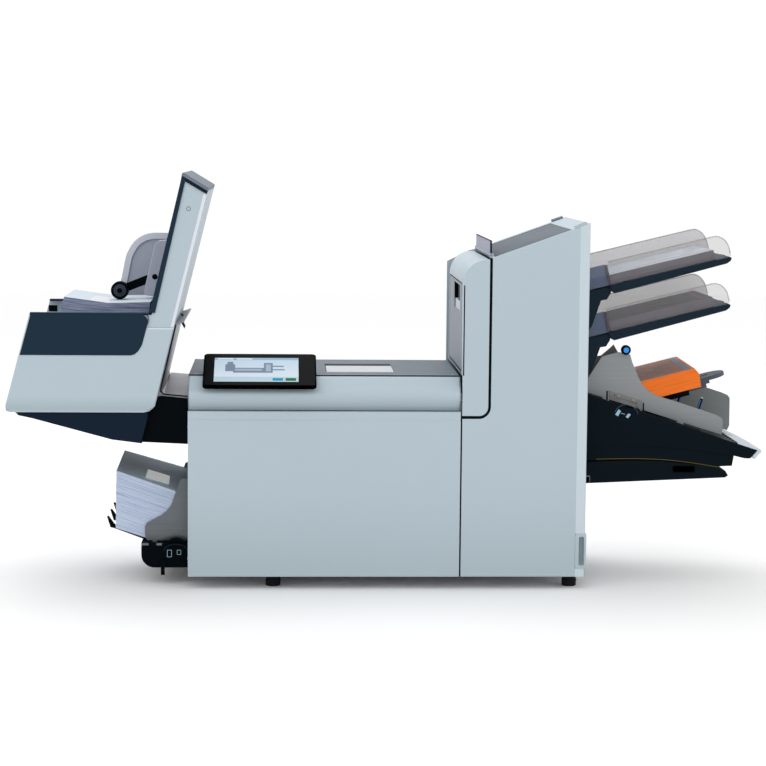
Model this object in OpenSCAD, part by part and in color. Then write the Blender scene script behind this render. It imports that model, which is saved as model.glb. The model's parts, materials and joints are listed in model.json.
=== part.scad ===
// Tabletop folder inserter: output stacker and envelope hopper on the left, folding body with a lift-up
// cover and touchscreen, collating tower, two document trays and an insert feeder on the right.
// Units are millimetres. X runs left to right, Y front to rear, Z up from the table.

/* [Case] */
// Length of the folding body from its left wall to the seam beside the tower
body_len = 552; // [520:1:600]
// Length of the tower from the seam to its right wall
tower_len = 254; // [244:1:280]
// Depth of the case from the front panel to the rear cover
case_depth = 410; // [400:1:440]
// Height of the case floor above the table
floor_z = 26; // [22:1:32]
// Height of the flat deck above the table
deck_z = 433; // [431:1:440]
// Height of the tower at its right end
tower_h = 745; // [740:1:770]
// Thickness of the outer panels
skin = 2.5; // [2:0.1:3]
// Slope of the top of the tower, degrees
top_slope = 19.9; // [18:0.1:21]

/* [Touchscreen] */
// Width of the touchscreen
screen_w = 228; // [200:1:260]
// Height of the touchscreen along its slope
screen_l = 129.5; // [120:0.5:136]
// Thickness of the touchscreen
screen_t = 8; // [7:0.1:9]
// Tilt of the touchscreen, degrees
screen_tilt = 24; // [23:0.5:28]

/* [Document trays] */
// Slope of the document trays, degrees
tray_tilt = 13.8; // [12:0.1:15]
// Distance between the two side guides of a tray, outside
guide_span = 240; // [238:1:246]
// Height of the document side guides
guide_h = 49; // [44:1:56]
// Width of the sheets
sheet_w = 210; // [200:1:216]
// Height of the paper stack
stack_t = 20; // [14:1:21]
// Height step between the two trays
tray_pitch = 96.7; // [94:0.1:100]

/* [Insert feeder] */
// Fall of the insert feeder deck, degrees
deck_fall = 17.95; // [17:0.05:18.5]
// Distance between the steel side plates, inside
insert_span = 211; // [208:1:214]
// Thickness of the steel side plates
plate_t = 2; // [1.5:0.1:2.5]
// Rise of the insert stack, degrees
insert_tilt = 14.5; // [13:0.1:15]

/* [Envelope hopper] */
// Length of the envelopes across the machine
envelope_l = 240; // [230:1:242]
// Slope of the envelope stack, degrees
hopper_tilt = 18.4; // [17:0.1:19]

/* [Stacker] */
// Depth of the stacker
stacker_depth = 400; // [380:1:404]
// Thickness of the stacker walls
cheek_t = 4; // [3:0.5:5]
// Radius of the hold-down wheel
wheel_r = 18.5; // [14:0.5:19]

/* [Rollers] */
// Diameter of the roller shafts
shaft_d = 10; // [8:0.5:11]
// Radial running clearance of the shafts in their bores
run_gap = 0.05; // [0.02:0.01:0.1]
// Clearance between parts that move past each other
gap = 0.5; // [0.4:0.1:0.8]
// Diameter of the fold rollers
fold_d = 36; // [30:1:37]

/* [Hidden] */
seam_x = body_len;
right_x = body_len + tower_len;
column_w = 58;
gap_x = seam_x + column_w;
mid_depth = case_depth / 2;
rear_y = case_depth;
frame_t = 3;
frame_f = mid_depth - 171;
frame_r = case_depth - 38;
cove_z = deck_z - 70;
axle_z = deck_z - 5;
axle_y = rear_y - 32;
// Lower edge of the touchscreen
screen_y = -20;
screen_z = deck_z - 22.7;
screen_x = 30;
// Rear stand-offs that keep the case off a wall
bumper = 3.5;
front_y = screen_y - screen_t * sin(screen_tilt);
back_y = rear_y + bumper;
left_end = -364;
// Reach of the insert feeder from the tower wall to the tip of its end tray
feeder_reach = 372;
right_end = seam_x + tower_len + feeder_reach;
mid_x = (left_end + right_end) / 2;
mid_y = (front_y + back_y) / 2;
// Upper surface of the upper document tray where it meets the tower
tray_z = tower_h - 142.5;
// Deck of the insert feeder where it meets the tower, below the lower tray's bracket
feeder_z = tray_z - tray_pitch - 109.6;

function tower_top(x) = tower_h - (right_x - x) * tan(top_slope);
function deck_line(x) = feeder_z - (x - right_x) * tan(deck_fall);

// Block between two corners
module block(x0, x1, y0, y1, z0, z1) {
    translate([x0, y0, z0]) cube([x1 - x0, y1 - y0, z1 - z0]);
}

// Outline in X and Z, drawn out along Y
module along_y(y0, y1) {
    translate([0, y1, 0]) rotate([90, 0, 0]) linear_extrude(height = y1 - y0) children();
}

// Outline in Y and Z, drawn out along X
module along_x(x0, x1) {
    translate([x0, 0, 0]) rotate([90, 0, 90]) linear_extrude(height = x1 - x0) children();
}

// Round bar along Y
module bar_y(x, z, d, y0, y1) {
    translate([x, y1, z]) rotate([90, 0, 0]) cylinder(h = y1 - y0, d = d, $fn = 40);
}

// Round bar along X
module bar_x(y, z, d, x0, x1) {
    translate([x0, y, z]) rotate([0, 90, 0]) cylinder(h = x1 - x0, d = d, $fn = 32);
}

// Everything is drawn with the body's left front corner as the origin and then centred
module centred() {
    translate([-mid_x, -mid_y, 0]) children();
}

// Axes of the rollers
fold_x = 330;
fold_z = 230;
// Second fold roller: beside the first with a paper gap
fold_pitch = fold_d + 0.8;
feed_x = right_x - 32;
feed_up_z = tray_z - 27;
feed_low_z = feed_up_z - tray_pitch;

// Through holes for all shafts that run in the side frames
module frame_bores(y0, y1) {
    for (p = [[fold_x, fold_z], [fold_x + fold_pitch, fold_z], [feed_x, feed_up_z], [feed_x, feed_low_z]])
        bar_y(p[0], p[1], shaft_d + 2 * run_gap, y0, y1);
}

module frame_outline() {
    polygon([
        [8, floor_z + 2], [right_x - 8, floor_z + 2], [right_x - 8, tower_top(right_x - 8) - 14],
        [gap_x + 6, tower_top(gap_x + 6) - 14], [gap_x + 6, deck_z - 36], [8, deck_z - 36]
    ]);
}

foot_y = 46;

module base_plate() color("gray") centred() difference() {
    block(skin, right_x - skin, 12, rear_y - 12, floor_z, floor_z + 22);
    block(skin + 2, right_x - skin - 2, 14, rear_y - 14, floor_z + 2, floor_z + 23);
    for (x = [172, right_x - 26], y = [foot_y, rear_y - foot_y])
        translate([x, y, floor_z - 1]) cylinder(h = 5, d = 6.4, $fn = 32);
    for (k = [0:5])
        block(250 + 30 * k, 262 + 30 * k, 120, 290, floor_z - 1, floor_z + 4);
    // Gap in the rim where the hopper base passes
    block(0, 8, hopper_f - 3, hopper_r + 3, floor_z + 8, floor_z + 30);
}

module feet() color("black") centred() for (x = [172, right_x - 26], y = [foot_y, rear_y - foot_y])
    translate([x, y, 0]) {
        cylinder(h = floor_z, d1 = 29, d2 = 32, $fn = 40);
        cylinder(h = floor_z + 2, d = 6.2, $fn = 32);
        translate([0, 0, floor_z + 2]) cylinder(h = 3, d = 12, $fn = 32);
    }

tie_points = [
    [60, 90], [300, 60], [seam_x - 52, 90], [gap_x + 90, 90], [gap_x + 44, 560], [120, 350], [gap_x + 90, 420]
];

module side_frame_front() color("silver") centred() {
    difference() {
        along_y(frame_f, frame_f + frame_t) frame_outline();
        frame_bores(frame_f - 1, frame_f + frame_t + 1);
    }
    // Tie bars with flanged ends, welded to this frame and screwed to the rear one
    for (p = tie_points) {
        bar_y(p[0], p[1], 12, frame_f + frame_t, frame_r);
        bar_y(p[0], p[1], 20, frame_f + frame_t, frame_f + frame_t + 4);
        bar_y(p[0], p[1], 9, frame_f - 3, frame_f);
    }
}

module side_frame_rear() color("silver") centred() {
    difference() {
        along_y(frame_r, frame_r + frame_t) frame_outline();
        frame_bores(frame_r - 1, frame_r + frame_t + 1);
        bar_y(motor_x, motor_z, 22, frame_r - 1, frame_r + frame_t + 1);
        // Openings behind the mains inlet and the power rocker
        block(inlet_x - 13.5, inlet_x + 13.5, frame_r - 1, rear_y, inlet_z - 9.5, inlet_z + 9.5);
        block(inlet_x + 27, inlet_x + 55, frame_r - 1, rear_y, inlet_z - 16, inlet_z + 16);
    }
    for (p = tie_points) bar_y(p[0], p[1], 9, frame_r + frame_t, frame_r + frame_t + 3);
    // Shoe that steadies the drive belt from outside
    belt_frame(frame_r + frame_t) translate([belt_run / 2 - 12, belt_in, 0]) cube([24, 5, 14]);
}

module front_panel() color("lightsteelblue") centred() along_x(0, seam_x - 2.4) polygon([
    [0, floor_z], [12, floor_z], [12, floor_z + skin], [skin, floor_z + skin], [skin, cove_z - skin],
    [14, cove_z - skin], [14, cove_z], [1, cove_z], [0, cove_z - 1]
]);

// Outline of the tower front: straight left edge under the column, then up beside the black gap
inner_r = 24;
module tower_front_outline() {
    polygon(concat(
        [[seam_x + 0.6, floor_z], [right_x, floor_z], [right_x, tower_h], [gap_x, tower_top(gap_x)]],
        [for (a = [0:15:90]) [
            gap_x - inner_r + inner_r * cos(a), cove_z - 13.6 + inner_r - inner_r * sin(a)]],
        [[seam_x + 0.6, cove_z - 13.6]]
    ));
}

module tower_panel() color("lightsteelblue") centred() difference() {
    union() {
        along_y(0, skin) tower_front_outline();
        // Frame of the hand grip, standing a little proud of the corner
        block(right_x - 20, right_x + 2.5, -1.2, skin, floor_z + 17, floor_z + 89);
        block(right_x, right_x + 2.5, skin, 20, floor_z + 17, floor_z + 89);
        // Dished pocket of the grip
        block(right_x - 14, right_x - 0.5, skin, 13, floor_z + 22, floor_z + 84);
        // Folded edges at the seam and at the foot
        block(seam_x + 0.6, seam_x + 3.1, skin, 12, floor_z, cove_z - 16.1);
        block(seam_x + 0.6, right_x - skin, skin, 12, floor_z, floor_z + skin);
    }
    block(right_x - 12, right_x - 2, -2, 11.5, floor_z + 24, floor_z + 82);
}

module left_cover() color("lightsteelblue") centred() difference() {
    block(0, skin, skin, rear_y - skin, floor_z, cove_z);
    // Opening for the envelope hopper and, above it, for the stacker mount
    block(-1, skin + 1, hopper_f - 3, hopper_r + 7, floor_z + 8, floor_z + 214);
    block(-1, skin + 1, stack_y0 + 30, stack_y1 - 22, cove_z - 70.3, cove_z + 1);
    // Room for the folded edges of the front panel
    block(-1, skin + 1, -1, 14.4, cove_z - skin - 0.1, cove_z + 1);
    block(-1, skin + 1, -1, 12, floor_z - 1, floor_z + skin);
}

module rear_cover() color("lightsteelblue") centred() difference() {
    union() {
        along_y(rear_y - skin, rear_y) polygon([
            [0, floor_z], [right_x, floor_z], [right_x, tower_h], [gap_x, tower_top(gap_x)],
            [seam_x + 44, deck_z + 238], [seam_x - 4, deck_z + 214], [seam_x - 4, deck_z - 4], [0, deck_z - 4]
        ]);
        // Fixed rim behind the lift-up cover
        block(0, seam_x - 4, rear_y - 26, rear_y - skin, deck_z - 4 - skin, deck_z - 4);
        block(0, skin, rear_y - 26, rear_y - skin, cove_z, deck_z - 4 - skin);
        // Hinge knuckles of the cover, each with its pin
        for (x = hinge_x) {
            block(x + gap, x + 40 - gap, axle_y, rear_y - 25, deck_z - 4 - skin, deck_z - 4);
            bar_x(axle_y, axle_z, 8, x + gap, x + 40 - gap);
            bar_x(axle_y, axle_z, 4, x - 4, x + 44);
        }
        // Rear stand-offs
        for (x = [60, 480, 760], z = [110, 380]) bar_y(x, z, 22, rear_y, rear_y + bumper);
        // Ears of the power rocker
        for (x = [inlet_x + 28, inlet_x + 52])
            block(x, x + 2, rear_y - 10, rear_y - skin, inlet_z - 6, inlet_z + 6);
    }
    // Cooling slots
    for (k = [0:9])
        block(300 + 14 * k, 306 + 14 * k, rear_y - skin - 1, rear_y + 1, 120, 190);
    bar_x(rear_y - 4, inlet_z, 5 + 2 * run_gap, inlet_x + 28.5, inlet_x + 53.5);
    // Seats of the mains inlet and the power rocker
    block(inlet_x - 13.5, inlet_x + 13.5, rear_y - skin - 1, rear_y + 1, inlet_z - 9.5, inlet_z + 9.5);
    block(inlet_x + 30, inlet_x + 52, rear_y - skin - 1, rear_y + 1, inlet_z - 14, inlet_z + 14);
}

// Throat of a document tray in the right wall, given at the tray's level
module tray_throat(z) {
    block(right_x - skin - 1, right_x + 1, mid_depth - 131, mid_depth + 131, z - 22, z + 60);
}

module right_cover() color("lightsteelblue") centred() {
    difference() {
        block(right_x - skin, right_x, skin, rear_y - skin, floor_z, tower_h - 2.9);
        tray_throat(tray_z);
        tray_throat(tray_z - tray_pitch);
        block(right_x - skin - 1, right_x + 1, mid_depth - 139, mid_depth + 139, feeder_z - 100, feeder_z - 6);
        // Room for the grip pocket
        block(right_x - skin - 1, right_x + 1, 0, 13.5, floor_z + 22, floor_z + 84);
    }
    // Bearing lugs of the lower flap
    difference() {
        for (y = [flap_y0 - 6, flap_y1 + 0.5])
            block(right_x, flap_x + 7, y, y + 5.5, flap_z - 7, flap_z + 7);
        bar_y(flap_x, flap_z, 6 + 2 * run_gap, flap_y0 - 7, flap_y1 + 7);
    }
    // Sloping top frame with the opening for the hand-feed plate
    difference() {
        translate([gap_x, 0, tower_top(gap_x)]) rotate([0, -top_slope, 0]) difference() {
            translate([0, skin, -skin])
                cube([(right_x - gap_x) / cos(top_slope), rear_y - 2 * skin, skin]);
            translate([6, 8, -skin - 1]) cube([164, rear_y - 38, skin + 2]);
        }
        block(right_x, right_x + 5, -1, rear_y + 1, tower_h - 30, tower_h + 20);
    }
    // Low lips at the upper end
    translate([gap_x, 0, tower_top(gap_x)]) rotate([0, -top_slope, 0])
        for (y = [skin, rear_y - skin - 9]) translate([176, y, 0]) cube([26, 9, 5]);
    // Lugs of the paper stop
    difference() {
        for (y = [31, rear_y - 36.5])
            block(stop_x - 3, gap_x + 5, y, y + 6, tower_top(gap_x) - 1, stop_z + 4);
        bar_y(stop_x, stop_z, 4 + 2 * run_gap, 30, rear_y - 29);
    }
}

stop_x = gap_x - 0.6;
stop_z = deck_z + 245;

// Left ends of the two hinges behind the lift-up cover
hinge_x = [60, 440];

column_r = 46;
module column_outline(d) {
    polygon(concat(
        [[seam_x + column_w - 5.4, cove_z - 7.7 + 18 + d]],
        [for (a = [0:15:90]) [
            seam_x + column_w - 5.4 - 18 + (18 - d) * cos(a), cove_z - 7.7 + 18 - (18 - d) * sin(a)]],
        [[seam_x + 0.6 + d, cove_z - 7.7 + d]],
        [for (a = [180:-10:90]) [
            seam_x + 0.6 + column_r + (column_r - d) * cos(a), deck_z + 191.5 + (column_r - d) * sin(a)]],
        [[seam_x + column_w - 5.4, deck_z + 191.5 + column_r - d]]
    ));
}

door_y0 = 42;
door_y1 = rear_y - 34;
door_z0 = deck_z + 9;
door_z1 = deck_z + 188;
door_axis_x = seam_x + 6;
door_axis_z = deck_z + 9;

module column_cover() color("lightsteelblue") centred() difference() {
    union() {
        along_y(0, skin) column_outline(0);
        // Shell over the paper column, above the deck only
        difference() {
            along_y(skin, rear_y - 18) difference() {
                column_outline(0);
                column_outline(skin);
                translate([seam_x + column_w - 6, 0]) square([10, deck_z + 234.5]);
            }
            block(seam_x - 1, gap_x + 1, 12, rear_y, cove_z - 20, deck_z + 3);
        }
        // Rear end of the shell
        along_y(rear_y - 20.5, rear_y - 18) translate([seam_x + 0.6 + skin, deck_z + 3])
            square([column_w - 6 - skin, 197]);
        // Lugs that hold the pin of the access door
        for (y = [door_y0 - 6, door_y1 + 2])
            block(seam_x + 0.6, seam_x + 12, y, y + 4, deck_z + 3, deck_z + 16);
        // Dark brackets that fix the shell to the side frames and close the gap beside it
        block(seam_x + 40, seam_x + 43, skin, frame_f, cove_z + 6, deck_z + 200);
        block(seam_x + 40, gap_x + 30, frame_f - 3, frame_f, cove_z + 6, deck_z + 200);
        block(seam_x + 40, seam_x + 43, frame_r + frame_t, rear_y - 19, deck_z + 6, deck_z + 200);
        block(seam_x + 40, gap_x + 30, frame_r + frame_t, frame_r + frame_t + 3, deck_z + 6, deck_z + 200);
    }
    // Opening of the access door and its pin holes
    block(seam_x, seam_x + skin + 1, door_y0 - gap, door_y1 + gap, door_z0 - 5.5, door_z1 + gap);
    bar_y(door_axis_x, door_axis_z, 4 + 2 * run_gap, door_y0 - 7, door_y1 + 7);
}

module access_door() color("slategray") centred() {
    difference() {
        block(seam_x + 0.6, seam_x + 0.6 + skin, door_y0, door_y1, door_z0, door_z1);
        block(seam_x, seam_x + 4, 100, 250, door_z1 - 63, door_z1 - 8);
    }
    // Grip dish behind the opening
    difference() {
        block(seam_x + 0.6 + skin, seam_x + 14, 97, 253, door_z1 - 66, door_z1 - 5);
        block(seam_x, seam_x + 12, 100, 250, door_z1 - 63, door_z1 - 8);
    }
    // Hinge barrel and pin
    bar_y(door_axis_x, door_axis_z, 7, door_y0, door_y1);
    bar_y(door_axis_x, door_axis_z, 4, door_y0 - 5.5, door_y1 + 5.5);
}

module hand_feed_plate() color("slategray") centred()
    translate([gap_x, 0, tower_top(gap_x)]) rotate([0, -top_slope, 0]) {
        translate([6.2, 8.2, -skin - 0.2]) cube([163.6, rear_y - 38.4, skin - 0.6]);
        translate([10, 4, -skin - 2.1]) cube([164, rear_y - 30, 2]);
    }

module paper_stop() color("lightslategray") centred() {
    block(stop_x - 1.2, stop_x + 1.2, 37.5, rear_y - 37, stop_z, stop_z + 29.5);
    bar_y(stop_x, stop_z, 6, 37.5, rear_y - 37);
    bar_y(stop_x, stop_z, 4, 31.5, rear_y - 31);
}

// Frame along a document tray: X up the slope from the tower wall, Z square to it
module tray_frame(z) {
    translate([right_x, 0, z]) rotate([0, -tray_tilt, 0]) children();
}

guide_f = mid_depth - guide_span / 2;
guide_r = mid_depth + guide_span / 2;
guide_t = 2.5;
guide_travel = 9;

module tray_body(z) {
    tray_frame(z) difference() {
        union() {
            // Hollow tray, thinner towards its end
            difference() {
                along_y(guide_f - 5, guide_r + 5) polygon([
                    [54, 0], [308, 0], [311, -3], [308, -8], [299, -12], [61, -18], [54, -12]
                ]);
                along_y(guide_f - 2.5, guide_r + 2.5) polygon([
                    [57, -2.5], [306, -2.5], [306, -7], [298, -9.5], [63, -15.5], [57, -11]
                ]);
            }
            // Bed that leads the sheets into the tower
            translate([-6, guide_f + 8, -2.5]) cube([61, guide_span - 16, 2.5]);
            // Dark throat walls beside the sheets
            for (y = [guide_f + 8, guide_r - 11]) translate([2, y, -2.5]) cube([50, 3, 21]);
        }
        for (u = [110, 230], y = [guide_f - gap, guide_r - guide_t - guide_travel - gap])
            translate([u - gap, y, -4]) cube([12 + 2 * gap, guide_t + guide_travel + 2 * gap, 5]);
    }
    // Bracket cheeks bolted to the tower wall
    difference() {
        for (y = [guide_f + 1.5, guide_r - 7.5]) along_y(y, y + 6) polygon([
            [right_x, z + 2], [right_x + 23, z + 3.2], [right_x + 48, z + 9.3], [right_x + 56, z + 11.2],
            [right_x + 56, z - 3], [right_x + 48, z - 16], [right_x + 36, z - 18], [right_x + 18, z - 71],
            [right_x, z - 96]
        ]);
        tray_frame(z) translate([-60, 0, -0.01]) cube([160, rear_y, 40]);
    }
    block(right_x, right_x + 4, guide_f + 5, guide_r - 5, z - 60, z - 24);
}

module tray_upper() color("darkslategray") centred() tray_body(tray_z);

module tray_lower() color("darkslategray") centred() tray_body(tray_z - tray_pitch);

module sheet_stack(z) {
    tray_frame(z) translate([-15, mid_depth - sheet_w / 2, 0.1]) cube([296, sheet_w, stack_t]);
}

module sheets_upper() color("white") centred() sheet_stack(tray_z);

module sheets_lower() color("white") centred() sheet_stack(tray_z - tray_pitch);

// Clear side guide with a rounded outer end and two feet in the slots of its tray;
// the rear ones are taller and reach further towards the tower
module side_guide(z, y, h, ear) {
    tray_frame(z) {
        along_y(y, y + guide_t) polygon(concat(
            [[54, 0.5], [54, 19.5], [54 - ear, 19.5], [62 - 1.3 * ear, h]],
            [for (a = [90:-10:0]) [284 + 28 * cos(a), 16 + (h - 16) * sin(a)]],
            [[312, 5], [311, 0.5]]
        ));
        for (u = [110, 230]) translate([u, y, -7]) cube([12, guide_t, 8]);
    }
}

module upper_guide_front() color("lightgray") centred() side_guide(tray_z, guide_f, guide_h, 1);

module upper_guide_rear() color("lightgray") centred() side_guide(tray_z, guide_r - guide_t, guide_h + 6, 14);

module lower_guide_front() color("lightgray") centred() side_guide(tray_z - tray_pitch, guide_f, guide_h, 1);

module lower_guide_rear() color("lightgray") centred()
    side_guide(tray_z - tray_pitch, guide_r - guide_t, guide_h + 6, 5);

// Insert feeder
plate_f = mid_depth - insert_span / 2;
plate_r = mid_depth + insert_span / 2;
feeder_f = mid_depth - 145;
feeder_r = mid_depth + 145;
insert_travel = 22;
deck_end = right_x + feeder_reach - 10;

module feeder_outline(d) {
    polygon([
        [right_x + d, deck_line(right_x + d) - d], [deck_end - d, deck_line(deck_end - d) - d],
        [deck_end - 14.6 - d, deck_line(deck_end) - 17 + d],
        [deck_end - 26.5 - d, deck_line(deck_end) - 17 + d], [right_x + 314, feeder_z - 129 + d],
        [right_x + 244, feeder_z - 118 + d], [right_x + 148, feeder_z - 110 + d],
        [right_x + d, feeder_z - 113 + d]
    ]);
}

wheel_x = right_x + 88;
wheel_z = deck_line(wheel_x) - 20;

module feeder_housing() color("darkslategray") centred() difference() {
    union() {
        along_y(feeder_f, feeder_r) difference() {
            feeder_outline(0);
            feeder_outline(3);
        }
        for (y = [feeder_f, feeder_r - 3]) along_y(y, y + 3) feeder_outline(0);
        // Underframe, set back a little
        difference() {
            along_y(feeder_f + 2, feeder_r - 2) underframe_outline(0);
            along_y(feeder_f + 5, feeder_r - 5) underframe_outline(3);
        }
        // Bearing of the width thumbwheel, hung from the front wall
        block(wheel_x - 33, wheel_x - 27, feeder_f + 2, feeder_f + 28, wheel_z - 14, wheel_z - 2);
        block(wheel_x - 33, wheel_x + 6, feeder_f + 24, feeder_f + 28, wheel_z - 14, wheel_z + 6);
        bar_y(wheel_x, wheel_z, 14, feeder_f + 2, feeder_f + 4.5);
        // Sloping bed with a channel for the stack support
        insert_frame() translate([90, mid_depth - 55, -6]) cube([100, 106, 6]);
        insert_frame() translate([90, mid_depth - 45, -20]) cube([150, 86, 14]);
        for (y = [mid_depth - 53, mid_depth + 43]) along_y(y, y + 6) polygon([
            [right_x + 118, deck_line(right_x + 118) - 1], [right_x + 182, deck_line(right_x + 182) - 1],
            [right_x + 182, feeder_z - 14], [right_x + 118, feeder_z - 30]
        ]);
    }
    // Channel of the stack support
    insert_frame() translate([100, mid_depth - 37 - gap, -14 - gap]) cube([200, 70 + 2 * gap, 8 + 2 * gap]);
    insert_frame() translate([190, mid_depth - 65, -6 - gap]) cube([100, 126, 12]);
    // Slots for the feet of the side plates
    for (x = [right_x + 44, right_x + 200], y = [plate_f - plate_t - insert_travel - gap, plate_r - gap])
        translate([x - gap, y, deck_line(x + 20) - 8])
            cube([14 + 2 * gap, plate_t + insert_travel + 2 * gap, deck_line(x) - deck_line(x + 20) + 12]);
    // Slot for the thumbwheel rim, its recess in the front wall and its bore
    block(wheel_x - 27, wheel_x + 27, feeder_f + 4.5, feeder_f + 16, wheel_z - 1, wheel_z + 40);
    bar_y(wheel_x, wheel_z, 6 + 2 * run_gap, feeder_f + 1.5, feeder_f + 30);
    // Throat towards the tower
    block(right_x - 1, right_x + 4, mid_depth - 101, mid_depth + 101, feeder_z - 90, feeder_z - 12);
}

module underframe_outline(d) {
    polygon([
        [right_x - (d > 0 ? 1 : 0), feeder_z - 113 - d], [right_x + 148, feeder_z - 110 - d],
        [right_x + 244, feeder_z - 118 - d], [right_x + 313.5 - 3 * d, feeder_z - 128.9 - 0.6 * d],
        [right_x + 310 - 2.5 * d, feeder_z - 150 + d], [right_x + 275, feeder_z - 151.6 + d],
        [right_x + 244, feeder_z - 145.7 + d], [right_x + 148, feeder_z - 137.4 + d],
        [right_x + 76, feeder_z - 137.6 + d], [right_x - (d > 0 ? 1 : 0), feeder_z - 140 + d]
    ]);
}

flap_x = right_x + 8;
flap_z = feeder_z - 178;
flap_y0 = feeder_f;
flap_y1 = feeder_r;
module flap_outline(d) {
    polygon([
        [right_x + 4 + d, feeder_z - 142.6 - d], [right_x + 76, feeder_z - 139.6 - d],
        [right_x + 148, feeder_z - 139.4 - d], [right_x + 244, feeder_z - 147.7 - d],
        [right_x + 275, feeder_z - 153.8 - d], [right_x + 296 - d, feeder_z - 160 - d],
        [right_x + 302 - 1.5 * d, feeder_z - 169.6], [right_x + 296 - d, feeder_z - 174 + d],
        [right_x + 137, feeder_z - 181 + d], [right_x + 4 + d, feeder_z - 187 + d]
    ]);
}

module lower_flap() color("darkslategray") centred() difference() {
    union() {
        difference() {
            along_y(flap_y0, flap_y1) flap_outline(0);
            along_y(flap_y0 + 3, flap_y1 - 3) flap_outline(3);
        }
        bar_y(flap_x, flap_z, 6, flap_y0 - 6, flap_y1 + 6);
    }
    // Hand grip in the front wall
    block(right_x + 187, right_x + 232, flap_y0 - 1, flap_y0 + 8, feeder_z - 163, feeder_z - 150.5);
}

// Frame along the insert stack: X up the slope from the tower wall
module insert_frame() {
    translate([right_x, 0, feeder_z - 55]) rotate([0, -insert_tilt, 0]) children();
}

support_travel = 40;
module stack_support() color("slategray") centred() insert_frame() difference() {
    union() {
        translate([130, mid_depth - 37, -14]) cube([150, 70, 7.6]);
        translate([192, mid_depth - 37, -7]) cube([96, 70, 6.5]);
        // Raised outer part beyond the inserts
        translate([262, mid_depth - 37, -1]) cube([30, 70, 8]);
        translate([292, mid_depth - 2, -1]) cylinder(h = 8, d = 70, $fn = 48);
    }
    translate([240, mid_depth - 55, -0.5]) cube([22, 110, 12]);
    translate([268, mid_depth - 8, -8]) cube([24, 12, 18]);
    translate([326, mid_depth - 55, -8]) cube([40, 110, 18]);
}

// The inserts are a little thicker at the rear
module insert_stack() color("orange") centred() insert_frame() hull() {
    along_y(plate_f + 1, plate_f + 3) polygon([
        [102, 0], [258, 0], [260, 30], [253, 40.2], [100, 40.5]
    ]);
    along_y(plate_r - 3, plate_r - 1) polygon([
        [102, 0], [258, 0], [260, 34], [253, 46], [100, 46.5]
    ]);
}

module feeder_end_tray() color("gainsboro") centred() intersection() {
    union() {
        along_y(feeder_f - 2, feeder_r + 2) polygon([
            [right_x + 320, deck_line(right_x + 320)], [right_x + 320, deck_line(right_x + 320) + 3],
            [right_x + 371.7, deck_line(right_x + 371.7) + 3], [right_x + 372, deck_line(right_x + 372) - 2],
            [deck_end + 4, deck_line(deck_end) - 7], [deck_end + 1, deck_line(deck_end) - 11],
            [deck_end - 6.5, deck_line(deck_end) - 19], [deck_end - 10.7, deck_line(deck_end) - 12.8],
            [deck_end + 0.1, deck_line(deck_end + 0.1)]
        ]);
    }
    // The tip is drawn out to the front
    linear_extrude(height = 500) polygon([
        [right_x + 318, feeder_f - 2], [right_x + 360, feeder_f - 2], [right_x + 368, feeder_f],
        [right_x + 371.4, feeder_f + 6], [right_x + 372, feeder_f + 14], [right_x + 372, feeder_f + 60],
        [right_x + 371, feeder_f + 140], [right_x + 366, feeder_f + 210], [right_x + 357, feeder_f + 256],
        [right_x + 342, feeder_f + 292], [right_x + 318, feeder_f + 292]
    ]);
}

// Steel side plate of the insert feeder; the front one is cut lower at its outer end
module insert_plate_front_outline() {
    x = right_x;
    polygon([
        [x + 8, deck_line(x + 8) + 1], [x + 8, feeder_z + 18], [x + 20, feeder_z + 38],
        [x + 42, feeder_z + 72], [x + 70, feeder_z + 79.6], [x + 77, feeder_z + 81],
        [x + 100, feeder_z + 76.2], [x + 105, feeder_z + 59.4], [x + 111.5, feeder_z + 45],
        [x + 117, feeder_z + 31], [x + 126.5, feeder_z + 14.3], [x + 141, feeder_z],
        [x + 161, feeder_z - 10.5], [x + 195.6, feeder_z - 20.3], [x + 283, feeder_z - 49],
        [x + 294, feeder_z - 56], [x + 296.2, feeder_z - 62.7], [x + 295, deck_line(x + 295) + 5]
    ]);
}

module insert_plate_rear_outline() {
    x = right_x;
    polygon([
        [x + 8, deck_line(x + 8) + 1], [x + 8, feeder_z + 14], [x + 22, feeder_z + 36],
        [x + 40, feeder_z + 50], [x + 70, feeder_z + 54], [x + 90, feeder_z + 71], [x + 97, feeder_z + 78],
        [x + 107, feeder_z + 61], [x + 118, feeder_z + 32], [x + 140, feeder_z + 14],
        [x + 291, feeder_z - 11], [x + 335, feeder_z - 25.4], [x + 348, feeder_z - 31],
        [x + 352.5, feeder_z - 38], [x + 353, feeder_z - 97], [x + 348, deck_line(x + 348) + 5]
    ]);
}

module plate_feet(y) {
    for (x = [right_x + 44, right_x + 200])
        block(x, x + 14, y, y + plate_t, deck_line(x) - 9, deck_line(x) + 6);
}

knob_x = right_x + 90;
knob_z = feeder_z + 86;

module insert_guide_front() color("silver") centred() difference() {
    union() {
        along_y(plate_f - plate_t, plate_f) insert_plate_front_outline();
        // Ear that carries the knob
        bar_y(knob_x, knob_z, 17, plate_f - plate_t, plate_f);
        plate_feet(plate_f - plate_t);
    }
    bar_y(knob_x, knob_z, 5 + 2 * run_gap, plate_f - plate_t - 1, plate_f + 1);
}

module insert_guide_rear() color("silver") centred() difference() {
    union() {
        along_y(plate_r, plate_r + plate_t) insert_plate_rear_outline();
        plate_feet(plate_r);
    }
    // Slanted slots
    for (x = [right_x + 196, right_x + 236, right_x + 280])
        translate([x, plate_r - 1, deck_line(x) + 26]) rotate([0, 18, 0]) cube([6, plate_t + 2, 30]);
}

module clamp_knob() color("dodgerblue") centred() {
    bar_y(knob_x, knob_z, 20, plate_f - plate_t - 11, plate_f - plate_t - 0.4);
    bar_y(knob_x, knob_z, 5, plate_f - plate_t - 1, plate_f + 3);
    bar_y(knob_x, knob_z, 11, plate_f + 0.4, plate_f + 3);
}

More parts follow.
